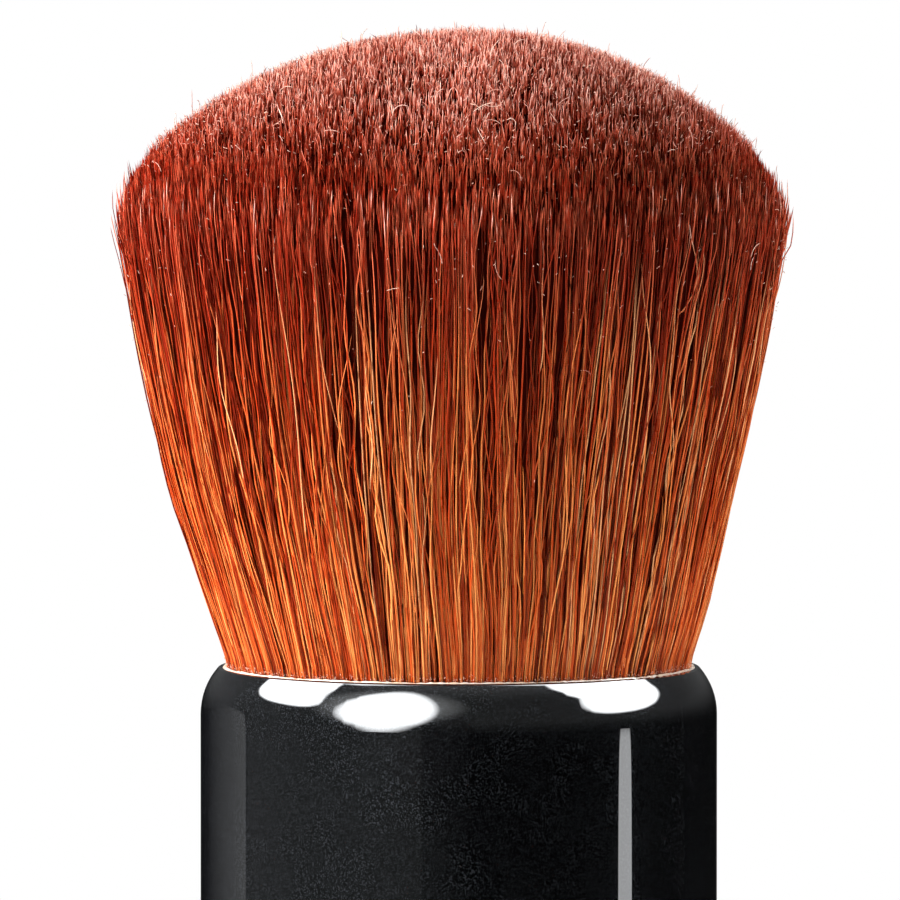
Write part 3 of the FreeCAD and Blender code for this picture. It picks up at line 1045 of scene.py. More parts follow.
@dataclass
class Tuft:
    """The bundle of filaments: a flank of full-length ones, a crown of tips, strays, and the shaded inside.

    Attributes:
        outline: The shape that the filaments fill.
        seed: The start of every random draw.
        lean: How far the tuft stands aside, with the height at which it is all there, as a share.
        crown_shift: How far the crown's top stands aside from that.
        taper: The length that a filament thins over, and the power of that.
        inside_share: The size of the dark inside, as a share of the tuft's.
        inside_drop: How far its crown lies below the tips.
    """

    outline: TuftOutline
    seed: int = 41
    filament_radius: float = 0.054 * MM
    widths: Pair = (0.85, 1.2)
    root_depth: float = 0.9 * MM
    flank_rings: int = 24
    flank_closer: float = 1.35
    flank_fineness: float = 0.5
    flank_mean_short: float = 0.004
    layers: tuple[Layer, ...] = (
        Layer(Tone.SURFACE, inside=0.95, outside=1.0, count=380, long_share=0.25, longest=0.045),
        Layer(Tone.OUTER, inside=0.89, outside=0.98, count=780),
        Layer(Tone.INNER, inside=0.80, outside=0.91, count=800),
    )
    habit: Habit = Habit()
    crown: Crown = Crown()
    strays: Strays = Strays()
    curls: Curls = Curls()
    flecks: Flecks = Flecks()
    taper: Pair = (9.0 * MM, 0.8)
    pale_end: Pair = (0.965, 0.03)
    lean: Pair = (-0.42 * MM, 0.5)
    crown_shift: float = 1.1 * MM
    column_spread: float = 0.02
    quarters: int = 4
    inside_share: float = 0.968
    inside_drop: float = 0.6 * MM
    inside_rings: int = 40
    inside_around: int = 128
    pieces: list[bpy.types.Object] = field(default_factory=list)

    def __post_init__(self) -> None:
        """Prepares the random draws, with their own for the fringe, and the finishes."""
        self.random = np.random.default_rng(self.seed)
        self.fringe = np.random.default_rng(self.seed + 1)
        self.waves = Waves(self.random)
        self.finishes = {finish.tone: finish.build() for finish in FILAMENT_FINISHES}

    def _place(self, radius: np.ndarray, angle: np.ndarray, height: np.ndarray) -> np.ndarray:
        """Turns rings round the axis into points, with the tuft's slight lean.

        Args:
            radius: Distances from the axis.
            angle: Angles round it, from +X.
            height: Heights.

        Returns:
            Points, with 3 coordinates on the last axis.
        """
        line = self.outline
        lean, all_there = self.lean
        up = (height - line.mouth_height) / (line.widest_height - line.mouth_height)
        ease = np.clip(up / all_there, 0.0, 1.0)
        shift = lean * ease * ease * (3 - 2 * ease)
        top = np.clip((height - line.widest_height) / (line.top_height - line.widest_height), 0.0, 1.0)
        shift = shift + self.crown_shift * top * np.clip(1.0 - radius / line.widest_radius, 0.0, 1.0)
        parts = (radius * np.cos(angle) + shift, radius * np.sin(angle), height)
        return np.stack(np.broadcast_arrays(*parts), axis=-1)

    def _aside(self, usual: float, wild: float, wild_share: float, count: int) -> np.ndarray:
        """Random sideways distances, of which a share is a given number of times wider."""
        distance = self.random.normal(0.0, usual, count)
        return (distance * self.random.choice([1.0, wild], count, p=[1.0 - wild_share, wild_share]))[:, None]

    def _wave(self, rise: np.ndarray, pace: np.ndarray) -> np.ndarray:
        """A wave up each filament at its own pace, with a random phase."""
        return np.sin(rise * pace[:, None] + self.random.uniform(0.0, WAVE_PHASES, len(pace))[:, None])

    def _grow(
        self,
        share: np.ndarray,
        angle: np.ndarray,
        start: np.ndarray,
        rings: int,
        beyond: np.ndarray,
        closer: float = 1.0,
    ) -> tuple[np.ndarray, np.ndarray]:
        """Centre lines of filaments that end on the crown.

        Args:
            share: The share of the tuft's section that lies nearer the axis than each tip.
            angle: The angle of each root.
            start: The share of the height that each line starts at.
            rings: How many points each line has.
            beyond: How much longer than the outline each filament is, as a share of its height.
            closer: How much closer together the points are near the tip, where 1 is even.

        Returns:
            The points, and the share of the height at each.
        """
        line, habit, draw, count = self.outline, self.habit, self.random, len(share)
        tip_radius, tip_height = line.crown(share)
        depth = np.sqrt(np.clip(share, 0.0, 1.0))[:, None]
        way = 1.0 - (1.0 - np.linspace(0.0, 1.0, rings)) ** closer
        rise = start[:, None] + (1.0 - start[:, None]) * way[None, :]
        rise = rise * (1.0 + beyond[:, None] * rise)
        foot = line.mouth_height - self.root_depth
        height = foot + rise * (tip_height[:, None] - foot)
        root_radius = depth * line.neck_radius
        radius = root_radius + (tip_radius[:, None] - root_radius) * line.spread(rise)
        loose = np.clip(rise / habit.free, 0.0, 1.0)
        loose = loose * loose * (3 - 2 * loose)
        drift = self.waves.drift(angle[:, None], rise, 1.0 - depth) * loose
        splay = self._aside(*habit.splay, count) * rise
        swing = self._aside(*habit.swing, count)
        pace = draw.uniform(*habit.swing_paces, count)
        swing = swing * self._wave(rise, pace)
        sideways = (splay + swing * loose) / np.maximum(radius, habit.least_radius)
        sway = draw.normal(0.0, habit.sway, count)[:, None]
        sway = sway * self._wave(rise, draw.uniform(*habit.sway_paces, count))
        standing, turned, climb = habit.lock
        lock = self.waves.drift(angle[:, None] + turned, rise * climb, 1.0 - depth)
        proud = radius * (1.0 + standing * lock * loose * depth) + sway * loose
        is_loose = draw.uniform(0.0, 1.0, count) < habit.loose_share
        apart = np.where(is_loose, draw.uniform(0.0, habit.loose, count), -habit.tucked)
        uneven, by_swing, by_itself = habit.ripple
        ripple = uneven * np.sin(rise * (pace[:, None] * by_swing + by_itself) + pace[:, None])
        limit = line.wall(height) + (apart[:, None] + ripple) * MM * np.clip(rise / 0.5, 0.2, 1.0)
        proud = np.where(rise < habit.held_until, np.minimum(proud, limit), proud)
        mean_flare, flare_share = habit.flare
        flare = self.fringe.exponential(mean_flare, count)
        flare = flare * (self.fringe.uniform(0.0, 1.0, count) < flare_share)
        flare_start, flare_reach = habit.flare_from
        flared = np.clip((rise - flare_start) / flare_reach, 0.0, 1.0) ** 2
        proud = proud + flare[:, None] * flared * (share > habit.flare_outside)[:, None]
        # The outer filaments' tips show less of the pale painted tip sheen.
        most, inside, width = habit.less_tip_sheen
        less_tip_sheen = most * np.clip((share - inside) / width, 0.0, 1.0)
        return self._place(proud, angle[:, None] + drift + sideways, height), rise - less_tip_sheen[:, None]

    def _bent(self, points: np.ndarray) -> np.ndarray:
        """Bends each filament sideways towards its tip.

        Args:
            points: The centre lines.

        Returns:
            The bent centre lines.
        """
        count, rings, _ = points.shape
        heading = self.random.uniform(0.0, TURN, count)
        amount = self.random.exponential(self.crown.tip_bend, count)
        way = np.stack([np.cos(heading), np.sin(heading), np.zeros(count)], axis=1) * amount[:, None]
        return points + way[:, None, :] * np.linspace(0.0, 1.0, rings)[None, :, None] ** 2

    def _thickness(self, points: np.ndarray, fine: float) -> np.ndarray:
        """The filaments' radii, which taper to their tips.

        Args:
            points: The centre lines.
            fine: The radius near the tip, as a share of the full one.

        Returns:
            A radius for each point.
        """
        length, power = self.taper
        steps = np.linalg.norm(np.diff(points, axis=1), axis=2)
        left = np.cumsum(steps[:, ::-1], axis=1)[:, ::-1]
        left = np.concatenate([left, np.zeros((len(points), 1))], axis=1)
        full = self.filament_radius * self.random.uniform(*self.widths, len(points))[:, None]
        return full * (fine + (1.0 - fine) * np.clip(left / length, 0.0, 1.0) ** power)

    def _keep(self, piece: bpy.types.Object) -> None:
        """Declares a piece that stands for the tuft.

        Args:
            piece: The piece.
        """
        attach(piece, ROOT_BODY)
        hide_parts("filament_tuft")
        self.pieces.append(piece)

    def _add(self, strands: Strands, name: str, tone: Tone) -> None:
        """Makes a piece of filaments.

        Args:
            strands: The filaments.
            name: The piece's name.
            tone: Its finish.
        """
        mesh = strands.mesh(name, self.random)
        mesh.materials.append(self.finishes[tone])
        self._keep(add_object(name, mesh))
        LOG.info("%s: %d filaments", name, len(strands.points))

    def _add_bits(self, points: np.ndarray, radii: np.ndarray, step: np.ndarray, name: str) -> None:
        """Makes a piece of small pale bits: painted glints for the curls, and glue for the flecks.

        Args:
            points: Their centre lines.
            radii: The radius of each.
            step: The share of its length at each of its points.
            name: The piece's name.
        """
        count = len(points)
        thick = radii[:, None] * MM * np.ones(step.shape)
        start, reach = self.pale_end
        along = start + reach * step.repeat(count, 0)
        self._add(Strands(points, thick, self.random.uniform(0, 1, count), along), name, Tone.STRAY)

    def _columns(self, angle: np.ndarray) -> np.ndarray:
        """Places across the strand map, from 0 to 1, that follow the angle, with neighbours shuffled."""
        return (angle / TURN + self.random.normal(0.0, self.column_spread, len(angle))) % 1.0

    def _roots(self, low: float, high: float, quarter: int, count: int) -> tuple[np.ndarray, np.ndarray]:
        """Random roots in one quarter of the tuft: their shares of the section, and their angles."""
        share = self.random.uniform(low, high, count)
        return share, (quarter + self.random.uniform(0.0, 1.0, count)) * TURN / self.quarters

    def add_flank(self) -> None:
        """The full-length filaments that make the side of the tuft, with the deeper ones darker as painted
        shade for their depth.
        """
        for layer in self.layers:
            for quarter in range(self.quarters):
                share, angle = self._roots(layer.inside, layer.outside, quarter, layer.count)
                beyond = -self.random.exponential(self.flank_mean_short, layer.count)
                if layer.long_share:
                    is_long = self.fringe.uniform(0.0, 1.0, layer.count) < layer.long_share
                    beyond = np.where(is_long, self.fringe.uniform(0.0, layer.longest, layer.count), beyond)
                start = np.zeros(layer.count)
                points, rise = self._grow(share, angle, start, self.flank_rings, beyond, self.flank_closer)
                thick = self._thickness(points, self.flank_fineness)
                strands = Strands(points, thick, self._columns(angle), rise)
                self._add(strands, f"tuft_flank_{layer.tone.value}_{quarter + 1}", layer.tone)

    def add_crown(self) -> None:
        """The last few millimetres of every filament that ends on the crown."""
        plan = self.crown
        count = plan.count // self.quarters
        length = self.outline.top_height - self.outline.mouth_height
        for quarter in range(self.quarters):
            share, angle = self._roots(0.0, plan.share, quarter, count)
            beyond = -self.random.exponential(plan.mean_short, count) + plan.lift
            is_wild = self.random.uniform(0.0, 1.0, count) < plan.wild_share
            beyond = np.where(is_wild, self.random.uniform(0.0, plan.wildest, count), beyond)
            reach = plan.length * (0.7 + plan.outer_growth * share**4) * self.random.uniform(0.7, 1.2, count)
            points, rise = self._grow(share, angle, 1.0 - reach / length, plan.rings, beyond, plan.closer)
            points = self._bent(points)
            strands = Strands(points, self._thickness(points, plan.fineness), self._columns(angle), rise)
            self._add(strands, f"tuft_crown_{quarter + 1}", Tone.CROWN)

    def add_strays(self) -> None:
        """Loose filaments that cross the others on the outside of the flank."""
        draw, plan, line = self.random, self.strays, self.outline
        count, rings = plan.count, self.flank_rings
        angle = draw.uniform(0.0, TURN, count)
        rise = np.sort(draw.uniform(0.02, 1.0, (count, 2)), axis=1)
        rise[:, 1] = np.maximum(rise[:, 1], rise[:, 0] + plan.shortest).clip(0.0, 1.0)
        rise = rise[:, :1] + (rise[:, 1:] - rise[:, :1]) * np.linspace(0.0, 1.0, rings)[None, :]
        height = line.mouth_height + rise * (line.widest_height + plan.past_widest - line.mouth_height)
        across = draw.normal(0.0, plan.cross, count)[:, None] * (rise - rise[:, :1])
        bow = 0.0
        for amount, paces in ((plan.bow, plan.bow_paces), (plan.wriggle, plan.wriggle_paces)):
            size = draw.normal(0.0, amount, count)[:, None]
            bow = bow + size * np.sin(rise * draw.uniform(*paces, count)[:, None])
        lift = draw.uniform(*plan.lift, count)[:, None] * MM
        arch = np.sin(np.linspace(0.0, math.pi, rings))[None, :] ** plan.arch
        radius = line.flank(height) - plan.sunk + lift * arch
        points = self._place(radius, angle[:, None] + (across + bow) / radius, height)
        thick = self.filament_radius * draw.uniform(*plan.width, count)[:, None]
        thick = thick * np.linspace(1.0, self.flank_fineness, rings)[None, :]
        self._add(Strands(points, thick, draw.uniform(0, 1, count), rise), "tuft_strays", Tone.STRAY)

    def add_curls(self) -> None:
        """Tiny ends that have curled back, scattered about the shoulder of the tuft, whose pale colour is a
        painted glint.
        """
        draw, plan, line, count = self.random, self.curls, self.outline, self.curls.count
        share = draw.uniform(0.02, 1.0, count) ** plan.crowding
        radius, height = line.crown(share)
        height = height - draw.exponential(plan.mean_drop, count) * (share > plan.drop_outside)
        angle = draw.uniform(0.0, TURN, count)
        radius = np.where(height < line.widest_height, line.flank(height), radius) + plan.proud
        heading = draw.normal(math.pi / 2, plan.heading, count)
        is_long = draw.uniform(0.0, 1.0, count) < plan.long_share
        length = np.where(is_long, draw.uniform(*plan.long, count), draw.gamma(*plan.short, count)) * MM
        turn = draw.normal(0.0, plan.turn, count)
        step = np.linspace(0.0, 1.0, plan.rings)[None, :]
        way = heading[:, None] + turn[:, None] * step
        across = np.cumsum(np.cos(way), axis=1) / plan.rings * length[:, None]
        up = np.cumsum(np.sin(way), axis=1) / plan.rings * length[:, None]
        spin = angle[:, None] + across / radius[:, None]
        points = self._place(radius[:, None] + plan.stands_out * step, spin, height[:, None] + up)
        self._add_bits(points, np.where(is_long, *plan.radii), step, "tuft_curls")

    def add_flecks(self) -> None:
        """Tiny drops of dried glue on the filaments just above the lip."""
        draw, plan, line, count = self.random, self.flecks, self.outline, self.flecks.count
        angle = draw.uniform(0.0, TURN, count)
        height = line.mouth_height + plan.above + draw.exponential(plan.mean_height, count)
        length = draw.uniform(*plan.length, count) * MM
        step = np.linspace(0.0, 1.0, plan.rings)[None, :]
        up = height[:, None] + length[:, None] * step
        radius = line.flank(up) + plan.proud
        spin = angle[:, None] + draw.normal(0.0, plan.slant, count)[:, None] * length[:, None] * step / radius
        points = self._place(radius, spin, up)
        self._add_bits(points, draw.uniform(*plan.radii, count), step, "tuft_glue_flecks")

    def add_inside(self) -> None:
        """The painted shade inside the bundle: a dark closed turned form a little smaller than the tuft."""
        line, around = self.outline, self.inside_around
        low = np.linspace(line.mouth_height - self.root_depth, line.widest_height, self.inside_rings)
        flank = np.stack([line.flank(low) * self.inside_share, low], axis=1)
        crown = np.stack([line.crown_radius, line.crown_height], axis=1)[::-12]
        crown = crown * np.array([self.inside_share, 1.0]) - np.array([0.0, self.inside_drop])
        crown = crown[crown[:, 1] > line.widest_height + self.inside_drop / 2]
        outline = np.concatenate([flank, crown])
        angle = np.arange(around) * TURN / around
        rings = self._place(outline[:, :1], angle[None, :], outline[:, 1:])
        bottom = np.array([[0.0, 0.0, outline[0, 1]]])
        top = rings[-1].mean(axis=0, keepdims=True)
        vertices = np.concatenate([rings.reshape(-1, 3), bottom, top]).tolist()
        faces = turned_faces(len(outline), around)
        self._keep(add_form("tuft_inside", vertices, faces, BundleFinish().build()))

    def build(self) -> None:
        """Adds every piece of the tuft."""
        self.add_inside()
        self.add_flank()
        self.add_crown()
        self.add_strays()
        self.add_curls()
        self.add_flecks()


# ---- Handle ----


@dataclass
class Handle:
    """The handle and what it holds, which keep their own solids and get their finishes."""

    nodes: dict[str, bpy.types.Object]

    def dress(self) -> None:
        """Gives every node of the handle its finish."""
        finishes = {
            "handle_shell": LacquerFinish(),
            "base_cap": MouldedFinish("cap_plastic", (0.010, 0.010, 0.011), (0.022, 0.022, 0.024), 0.34),
            "inner_core": MouldedFinish("core_plastic", (0.62, 0.62, 0.60), (0.52, 0.51, 0.48), 0.5),
            "weight_slug": TurnedFinish("turned_steel", (0.50, 0.50, 0.52), (0.33, 0.31, 0.30), 0.36),
            "bristle_cup": TurnedFinish("pressed_aluminium", (0.78, 0.78, 0.80), (0.60, 0.60, 0.62), 0.32),
            "epoxy_potting": ResinFinish("cured_resin", (0.66, 0.46, 0.20), (0.50, 0.27, 0.08), 900.0),
            "root_binding": ThreadFinish(),
            "rim_glue_bead": ResinFinish("rim_glue", (0.92, 0.84, 0.70), (0.80, 0.56, 0.34), 2400.0),
        }
        for name, finish in finishes.items():
            material = finish.build()
            for place in self.nodes[name].material_slots:
                place.material = material
            LOG.info("%s: %s", name, material.name)


@dataclass
class GlueLine:
    """The uneven line of clear glue that shows between the lip and the filaments. Its near-white colour is
    partly the glue's own and partly a painted highlight of the lip's edge.

    Attributes:
        inner: The radius of its inner edge.
        outer: The radius of its outer edge.
        foot: The height that it starts at, out of sight behind the lip.
        crest: The mean height of its top.
        around: How many steps it has round the axis.
        profile: How many points its section has.
        waves: How many times each wave of its top goes up and down round the axis.
        wave_height: The height of the largest wave.
        bulge: The power of its section's height, where 1 is round and less is squarer.
    """

    inner: float
    outer: float
    foot: float
    crest: float
    around: int = 720
    profile: int = 8
    waves: tuple[int, ...] = (11, 23, 47, 89, 131, 171)
    wave_height: float = 0.018
    bulge: float = 0.6
    seed: int = 7
    # Near-white: partly the glue's own colour and partly a painted highlight of the lip's edge.
    finish: ResinFinish = ResinFinish("glue_and_lip_shine", (0.96, 0.87, 0.76), (0.92, 0.70, 0.50), 1800.0)

    def build(self) -> bpy.types.Object:
        """Adds the line over the bead's own solid, and returns it."""
        draw = np.random.default_rng(self.seed)
        angle = np.arange(self.around) * TURN / self.around
        rise = np.zeros(self.around)
        for count in self.waves:
            rise += draw.uniform(0.3, 1.0) * np.sin(count * angle + draw.uniform(0.0, TURN))
        rise = self.crest + rise * self.wave_height * MM - self.foot
        turn = np.linspace(0.0, math.pi, self.profile)
        radius = (self.inner + self.outer) / 2 + (self.outer - self.inner) / 2 * np.cos(turn)
        height = self.foot + rise[:, None] * (np.sin(turn) ** self.bulge)[None, :]
        points = [radius * np.cos(angle)[:, None], radius * np.sin(angle)[:, None], height]
        vertices = np.stack(points, axis=-1).reshape(-1, 3).tolist()
        spots = [(spot, (spot + 1) % self.profile) for spot in range(self.profile)]
        faces: Faces = []
        for step in range(self.around):
            near, far = step * self.profile, (step + 1) % self.around * self.profile
            faces += [(near + spot, far + spot, far + after, near + after) for spot, after in spots]
        piece = add_form("glue_and_lip_shine", vertices, faces, self.finish.build())
        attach(piece, ROOT_BODY)
        return piece


# ---- Studio ----


@dataclass(frozen=True)
class Card:
    """A patch of the studio that the gloss mirrors.

    Attributes:
        azimuth: Its middle, in degrees from the front towards +X.
        elevation: Its middle, in degrees above the horizon.
        width: Its whole width, in degrees.
        tall: Its whole height, in degrees.
        strength: How bright it is, where 1 is white.
        soft: How wide its edge is, as a share of its size.
        squareness: The power of its outline: 2 is an ellipse, and more is nearer a rectangle.
        slant: How many degrees of azimuth it leans by for each degree up.
        fade: How far it dims towards its lower azimuth, where 1 is black.
    """

    azimuth: float
    elevation: float
    width: float
    tall: float
    strength: float
    soft: float = 0.12
    squareness: float = 2.0
    slant: float = 0.0
    fade: float = 0.0

    def light(self, azimuth: Signal, elevation: Signal) -> Signal:
        """The brightness that the card adds.

        Args:
            azimuth: The direction's azimuth, in degrees.
            elevation: The direction's elevation, in degrees.

        Returns:
            The brightness.
        """
        above = elevation - self.elevation
        offset = (azimuth - (above * self.slant + self.azimuth)) / (self.width / 2)
        across, up = abs(offset), abs(above / (self.tall / 2))
        reach = (across ** self.squareness + up ** self.squareness) ** (1.0 / self.squareness)
        light = reach.rise(1.0 + self.soft, 1.0 - self.soft) * self.strength
        return light * ((offset - 1.0) * (self.fade / 2) + 1.0) ** 2.0 if self.fade else light


@dataclass(frozen=True)
class Canopy:
    """A white light over the brush, whose outline is an ellipse seen from above.

    Attributes:
        half_width: Half its size along X, in metres.
        half_depth: Half its size along Y, in metres.
        strength: How bright it is, where 1 is white.
        soft: How wide its edge is, as a share of its size.
    """

    half_width: float = 74.0 * MM
    half_depth: float = 47.5 * MM
    strength: float = 13.0
    soft: float = 0.03

    def light(self, x: Signal, y: Signal, z: Signal) -> Signal:
        """The brightness that the canopy adds.

        Args:
            x: The place on the dome, in metres.
            y: The same along Y.
            z: The same along Z.

        Returns:
            The brightness.
        """
        across, shade_tint = x / self.half_width, y / self.half_depth
        reach = (across * across + shade_tint * shade_tint) ** 0.5
        return reach.rise(1.0 + self.soft, 1.0 - self.soft) * self.strength * z.rise(50.0 * MM, 60.0 * MM)


@dataclass(frozen=True)
class Dome:
    """A dark dome with bright cards, seen only in the gloss: the handle mirrors it.

    Attributes:
        radius: Its radius, in metres.
        around: How many steps it has round the axis.
        levels: How many it has from pole to pole.
        eye_height: The height that elevations are measured from.
        ground: How bright it is below, where 1 is white.
        horizon: How bright it is above the horizon.
        zenith: How much brighter it is overhead.
        dark: How bright it is at least.
        tint: The colour of its light.
    """

    radius: float = 0.15
    around: int = 48
    levels: int = 32
    eye_height: float = 30.0 * MM
    ground: float = 0.30
    horizon: float = 0.12
    zenith: float = 0.35
    dark: float = 0.005
    tint: Colour = (0.96, 0.98, 1.0)
    canopy: Canopy = Canopy()
    cards: tuple[Card, ...] = (
        Card(azimuth=-33.5, elevation=28.2, width=47.0, tall=55.0, strength=13.0),
        Card(azimuth=-34.0, elevation=33.0, width=62.0, tall=44.0, strength=1.6, soft=0.45),
        Card(azimuth=-98.0, elevation=44.0, width=50.0, tall=44.0, strength=13.0, soft=0.06, squareness=3.2,
             slant=-0.5),
        Card(azimuth=90.0, elevation=38.0, width=54.0, tall=46.0, strength=13.0, soft=0.07, squareness=2.5,
             slant=0.5),
        Card(azimuth=79.0, elevation=50.0, width=38.0, tall=32.0, strength=13.0, soft=0.10, squareness=3.0),
        Card(azimuth=75.8, elevation=-22.55, width=7.6, tall=36.4, strength=3.5, soft=0.015, squareness=8.0),
        Card(azimuth=-130.25, elevation=-12.0, width=49.5, tall=38.0, strength=0.43, soft=0.03,
             squareness=6.0, fade=1.06),
        Card(azimuth=-60.0, elevation=-5.0, width=90.0, tall=150.0, strength=0.11, soft=0.04, squareness=8.0),
        Card(azimuth=-45.0, elevation=-5.0, width=80.0, tall=150.0, strength=0.06, soft=0.50),
        Card(azimuth=176.0, elevation=-5.0, width=26.0, tall=60.0, strength=0.04, soft=0.10, squareness=6.0),
    )

    def _finish(self) -> bpy.types.Material:
        """The light that each place of the dome gives."""
        shader, made = Shader.material("mirrored_cards")
        x, y, z = shader.axes(shader.coordinate("Object"))
        azimuth = x.degrees_over(y * -1.0)
        elevation = (z - self.eye_height).degrees_over((x * x + y * y) ** 0.5)
        below = elevation.rise(-10.0, -50.0) * self.ground
        above = elevation.rise(-4.0, 12.0) * self.horizon + elevation.rise(40.0, 82.0) * self.zenith
        total = (below + above + self.dark).larger(self.canopy.light(x, y, z))
        for card in self.cards:
            total = total.larger(card.light(azimuth, elevation))
        light = shader.node("ShaderNodeEmission", None, {"Color": self.tint, "Strength": total})
        shader.end("ShaderNodeOutputMaterial", light)
        return made

    def build(self, lacquered: bpy.types.Collection) -> None:
        """Adds the dome.

        Args:
            lacquered: The pieces that mirror it.
        """
        vertices = []
        for level in range(1, self.levels):
            tilt = math.pi * (level / self.levels - 0.5)
            for step in range(self.around):
                turn = TURN * step / self.around
                spot = (math.cos(turn) * math.cos(tilt), math.sin(turn) * math.cos(tilt), math.sin(tilt))
                vertices.append(tuple(self.radius * part for part in spot))
        vertices += [(0.0, 0.0, -self.radius), (0.0, 0.0, self.radius)]
        faces = turned_faces(self.levels - 1, self.around)
        dome = add_form("mirrored_dome", vertices, faces, self._finish(), is_smooth=False)
        dome.visible_camera = False
        dome.visible_diffuse = False
        dome.visible_shadow = False
        dome.visible_transmission = False
        dome.light_linking.receiver_collection = lacquered


@dataclass(frozen=True)
class Lamp:
    """A soft square lamp that points at the tuft.

    Attributes:
        name: Its name.
        azimuth: Its direction, in degrees from the front towards +X.
        elevation: Its height above the horizon, in degrees.
        size: Its width, in metres.
        power: Its power, in watts.
        is_shine: Whether it only makes the shine on the filaments.
        lights_shell: Whether it also lights the handle's shell.
        target: The height that it points at, in metres.
        distance: How far from there it stands, in metres.
    """

    name: str
    azimuth: float
    elevation: float
    size: float
    power: float
    is_shine: bool = False
    lights_shell: bool = False
    target: float = 45.0 * MM
    distance: float = 0.7
    shine_colour: Colour = (1.0, 0.84, 0.66)

    def build(self, lit: Optional[bpy.types.Collection]) -> None:
        """Adds the lamp.

        Args:
            lit: What it lights, or None for everything.
        """
        data = bpy.data.lights.new(self.name, "AREA")
        data.shape = "SQUARE"
        data.size = self.size
        data.energy = self.power
        data.color = self.shine_colour if self.is_shine else WHITE
        lamp = add_object(self.name, data)
        turn, tilt = math.radians(self.azimuth), math.radians(self.elevation)
        flat = math.cos(tilt)
        direction = Vector((math.sin(turn) * flat, -math.cos(turn) * flat, math.sin(tilt)))
        lamp.location = Vector((0.0, 0.0, self.target)) + direction * self.distance
        lamp.rotation_euler = (-direction).to_track_quat("-Z", "Y").to_euler()
        lamp.visible_camera = False
        lamp.visible_glossy = self.is_shine
        lamp.visible_diffuse = not self.is_shine
        lamp.light_linking.receiver_collection = lit


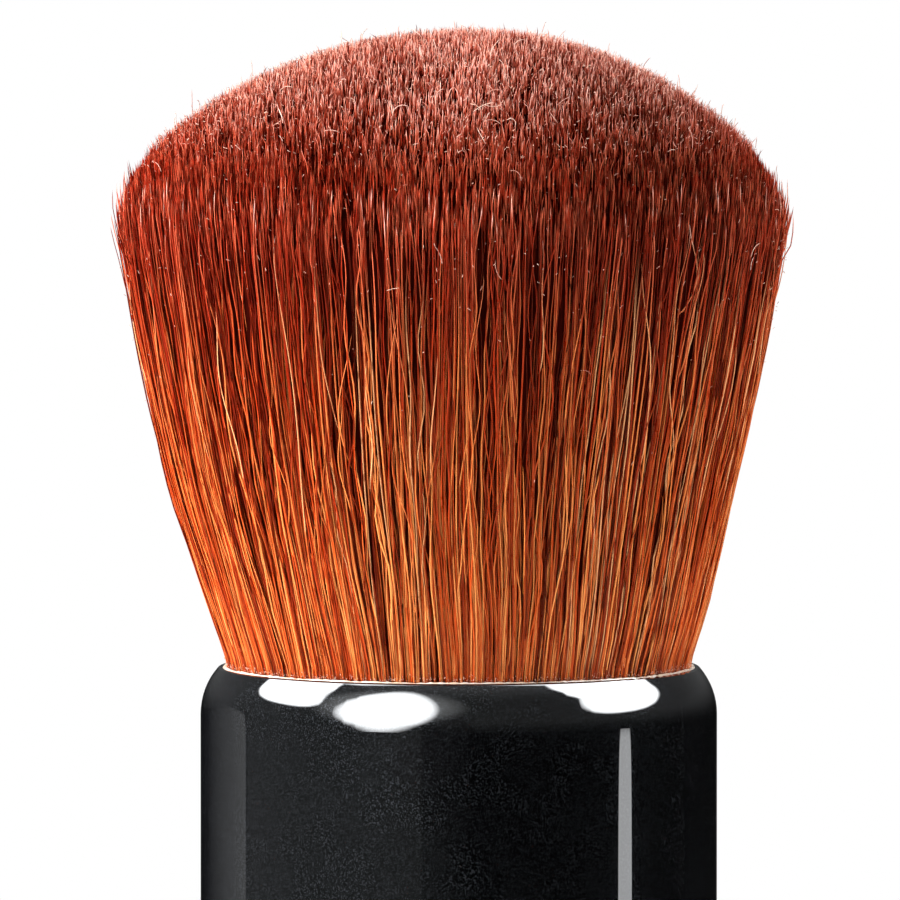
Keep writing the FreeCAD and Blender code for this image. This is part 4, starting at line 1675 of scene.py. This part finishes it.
@dataclass
class Studio:
    """The camera, lamps, floor and what the gloss mirrors. It isn't part of the brush.

    Attributes:
        filaments: The pieces of the tuft.
        lacquered: The pieces that mirror the cards, with the handle's shell first.
        aim: The point that the camera looks at, in metres.
        elevation: The camera's height above the horizon, in degrees.
        distance: How far from its aim it stands, in metres.
        frame_width: The width that it sees there, in metres.
        shade: How bright the surround is for the light on a surface, where 1 is white.
        floor_half: Half the floor's width, in metres.
        floor_drop: How far below the foot it lies, in metres.
        shadow_reach: Where the floor's own colour starts to end, and where it is white.
    """

    filaments: list[bpy.types.Object]
    lacquered: list[bpy.types.Object]
    aim: Triple = (-0.545 * MM, 0.0, 45.43 * MM)
    elevation: float = 3.57
    distance: float = 1.2
    frame_width: float = 55.72 * MM
    sensor: float = 36.0
    nearest: float = 0.01
    farthest: float = 50.0
    shade: float = 0.08
    floor_half: float = 4.0
    floor_drop: float = 0.02 * MM
    floor_colour: Colour = (0.86, 0.86, 0.86)
    shadow_reach: Pair = (0.05, 0.14)
    dome: Dome = Dome()
    lamps: tuple[Lamp, ...] = (
        Lamp("lamp_left", azimuth=-82.0, elevation=20.0, size=0.4, power=15.2, lights_shell=True),
        Lamp("lamp_right", azimuth=80.0, elevation=25.0, size=0.35, power=3.0),
        Lamp("lamp_back", azimuth=180.0, elevation=40.0, size=0.5, power=14.0),
        Lamp("shine_left", azimuth=-72.0, elevation=0.0, size=0.2, power=2.0, is_shine=True),
        Lamp("shine_right", azimuth=66.0, elevation=0.0, size=0.2, power=1.6, is_shine=True),
        Lamp("shine_back", azimuth=180.0, elevation=50.0, size=0.5, power=2.2, is_shine=True),
    )

    def add_camera(self) -> None:
        """A long lens at the height that the mouth of the handle is seen from."""
        data = bpy.data.cameras.new("camera")
        data.sensor_width = self.sensor
        data.lens = self.sensor * self.distance / self.frame_width
        data.clip_start = self.nearest
        data.clip_end = self.farthest
        camera = add_object("camera", data)
        tilt = math.radians(self.elevation)
        away = Vector((0.0, -math.cos(tilt), math.sin(tilt))) * self.distance
        camera.location = Vector(self.aim) + away
        camera.rotation_euler = (-away).to_track_quat("-Z", "Y").to_euler()
        bpy.context.scene.camera = camera

    def add_world(self) -> None:
        """A white surround for the camera and the gloss, and a weaker plain light for everything else."""
        world = bpy.data.worlds.new("surround")
        bpy.context.scene.world = world
        shader = Shader(world)
        strength = shader.seen() * (1.0 - self.shade) + self.shade
        light = shader.node("ShaderNodeBackground", None, {"Color": WHITE, "Strength": strength})
        shader.end("ShaderNodeOutputWorld", light)

    def add_floor(self) -> None:
        """A pale floor that keeps the brush's shadow and turns white away from it."""
        shader, made = Shader.material("pale_floor")
        place = shader.coordinate("Object", (1.0, 1.0, 0.0))
        reach = shader.node("ShaderNodeVectorMath", {"operation": "LENGTH"}, {0: place}, "Value")
        matt = shader.node("ShaderNodeBsdfDiffuse", None, {"Color": self.floor_colour})
        white = shader.node("ShaderNodeEmission", None, {"Color": WHITE, "Strength": 1.0})
        factor = reach.rise(*self.shadow_reach) * shader.seen()
        mixed = shader.node("ShaderNodeMixShader", None, {0: factor, 1: matt, 2: white})
        shader.end("ShaderNodeOutputMaterial", mixed)
        half = self.floor_half
        corners = [(-half, -half, 0), (half, -half, 0), (half, half, 0), (-half, half, 0)]
        floor = add_form("floor", corners, [(0, 1, 2, 3)], made, is_smooth=False)
        floor.visible_glossy = False
        floor.location.z = -self.floor_drop

    def build(self) -> None:
        """Adds everything round the brush."""
        bpy.context.scene.view_settings.view_transform = "Standard"
        self.add_camera()
        self.add_world()
        self.add_floor()
        self.dome.build(group("mirrors_cards", self.lacquered))
        shining = group("shines", self.filaments)
        all_but_shell = group("lit_from_the_sides", self.lacquered[:1])
        for member in all_but_shell.collection_objects:
            member.light_linking.link_state = "EXCLUDE"
        for lamp in self.lamps:
            plain = None if lamp.lights_shell else all_but_shell
            lamp.build(shining if lamp.is_shine else plain)
        LOG.info("studio: %d cards and %d lamps", len(self.dome.cards), len(self.lamps))


def main() -> None:
    """Builds the brush and its studio."""
    logging.basicConfig(level=logging.INFO)
    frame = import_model()
    shell_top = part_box("handle_shell")[1][2]
    tuft_low, tuft_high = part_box("filament_tuft")
    bead_radius, _, bead_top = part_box("rim_glue_bead")[1]
    bead_width = 0.25 * MM
    outline = TuftOutline(
        neck_radius=bead_radius - bead_width,
        mouth_height=shell_top,
        widest_radius=(tuft_high[0] - tuft_low[0]) / 2,
        top_height=tuft_high[2],
    )
    nodes = frame["nodes"]
    Handle(nodes).dress()
    tuft = Tuft(outline)
    tuft.build()
    glue_and_lip_shine = GlueLine(
        inner=bead_radius - bead_width + 0.02 * MM,
        outer=bead_radius + 0.16 * MM,
        foot=bead_top - 0.15 * MM,
        crest=shell_top + 0.065 * MM,
    ).build()
    Studio(tuft.pieces, [nodes["handle_shell"], nodes["base_cap"], glue_and_lip_shine]).build()


if __name__ == "__main__":
    main()
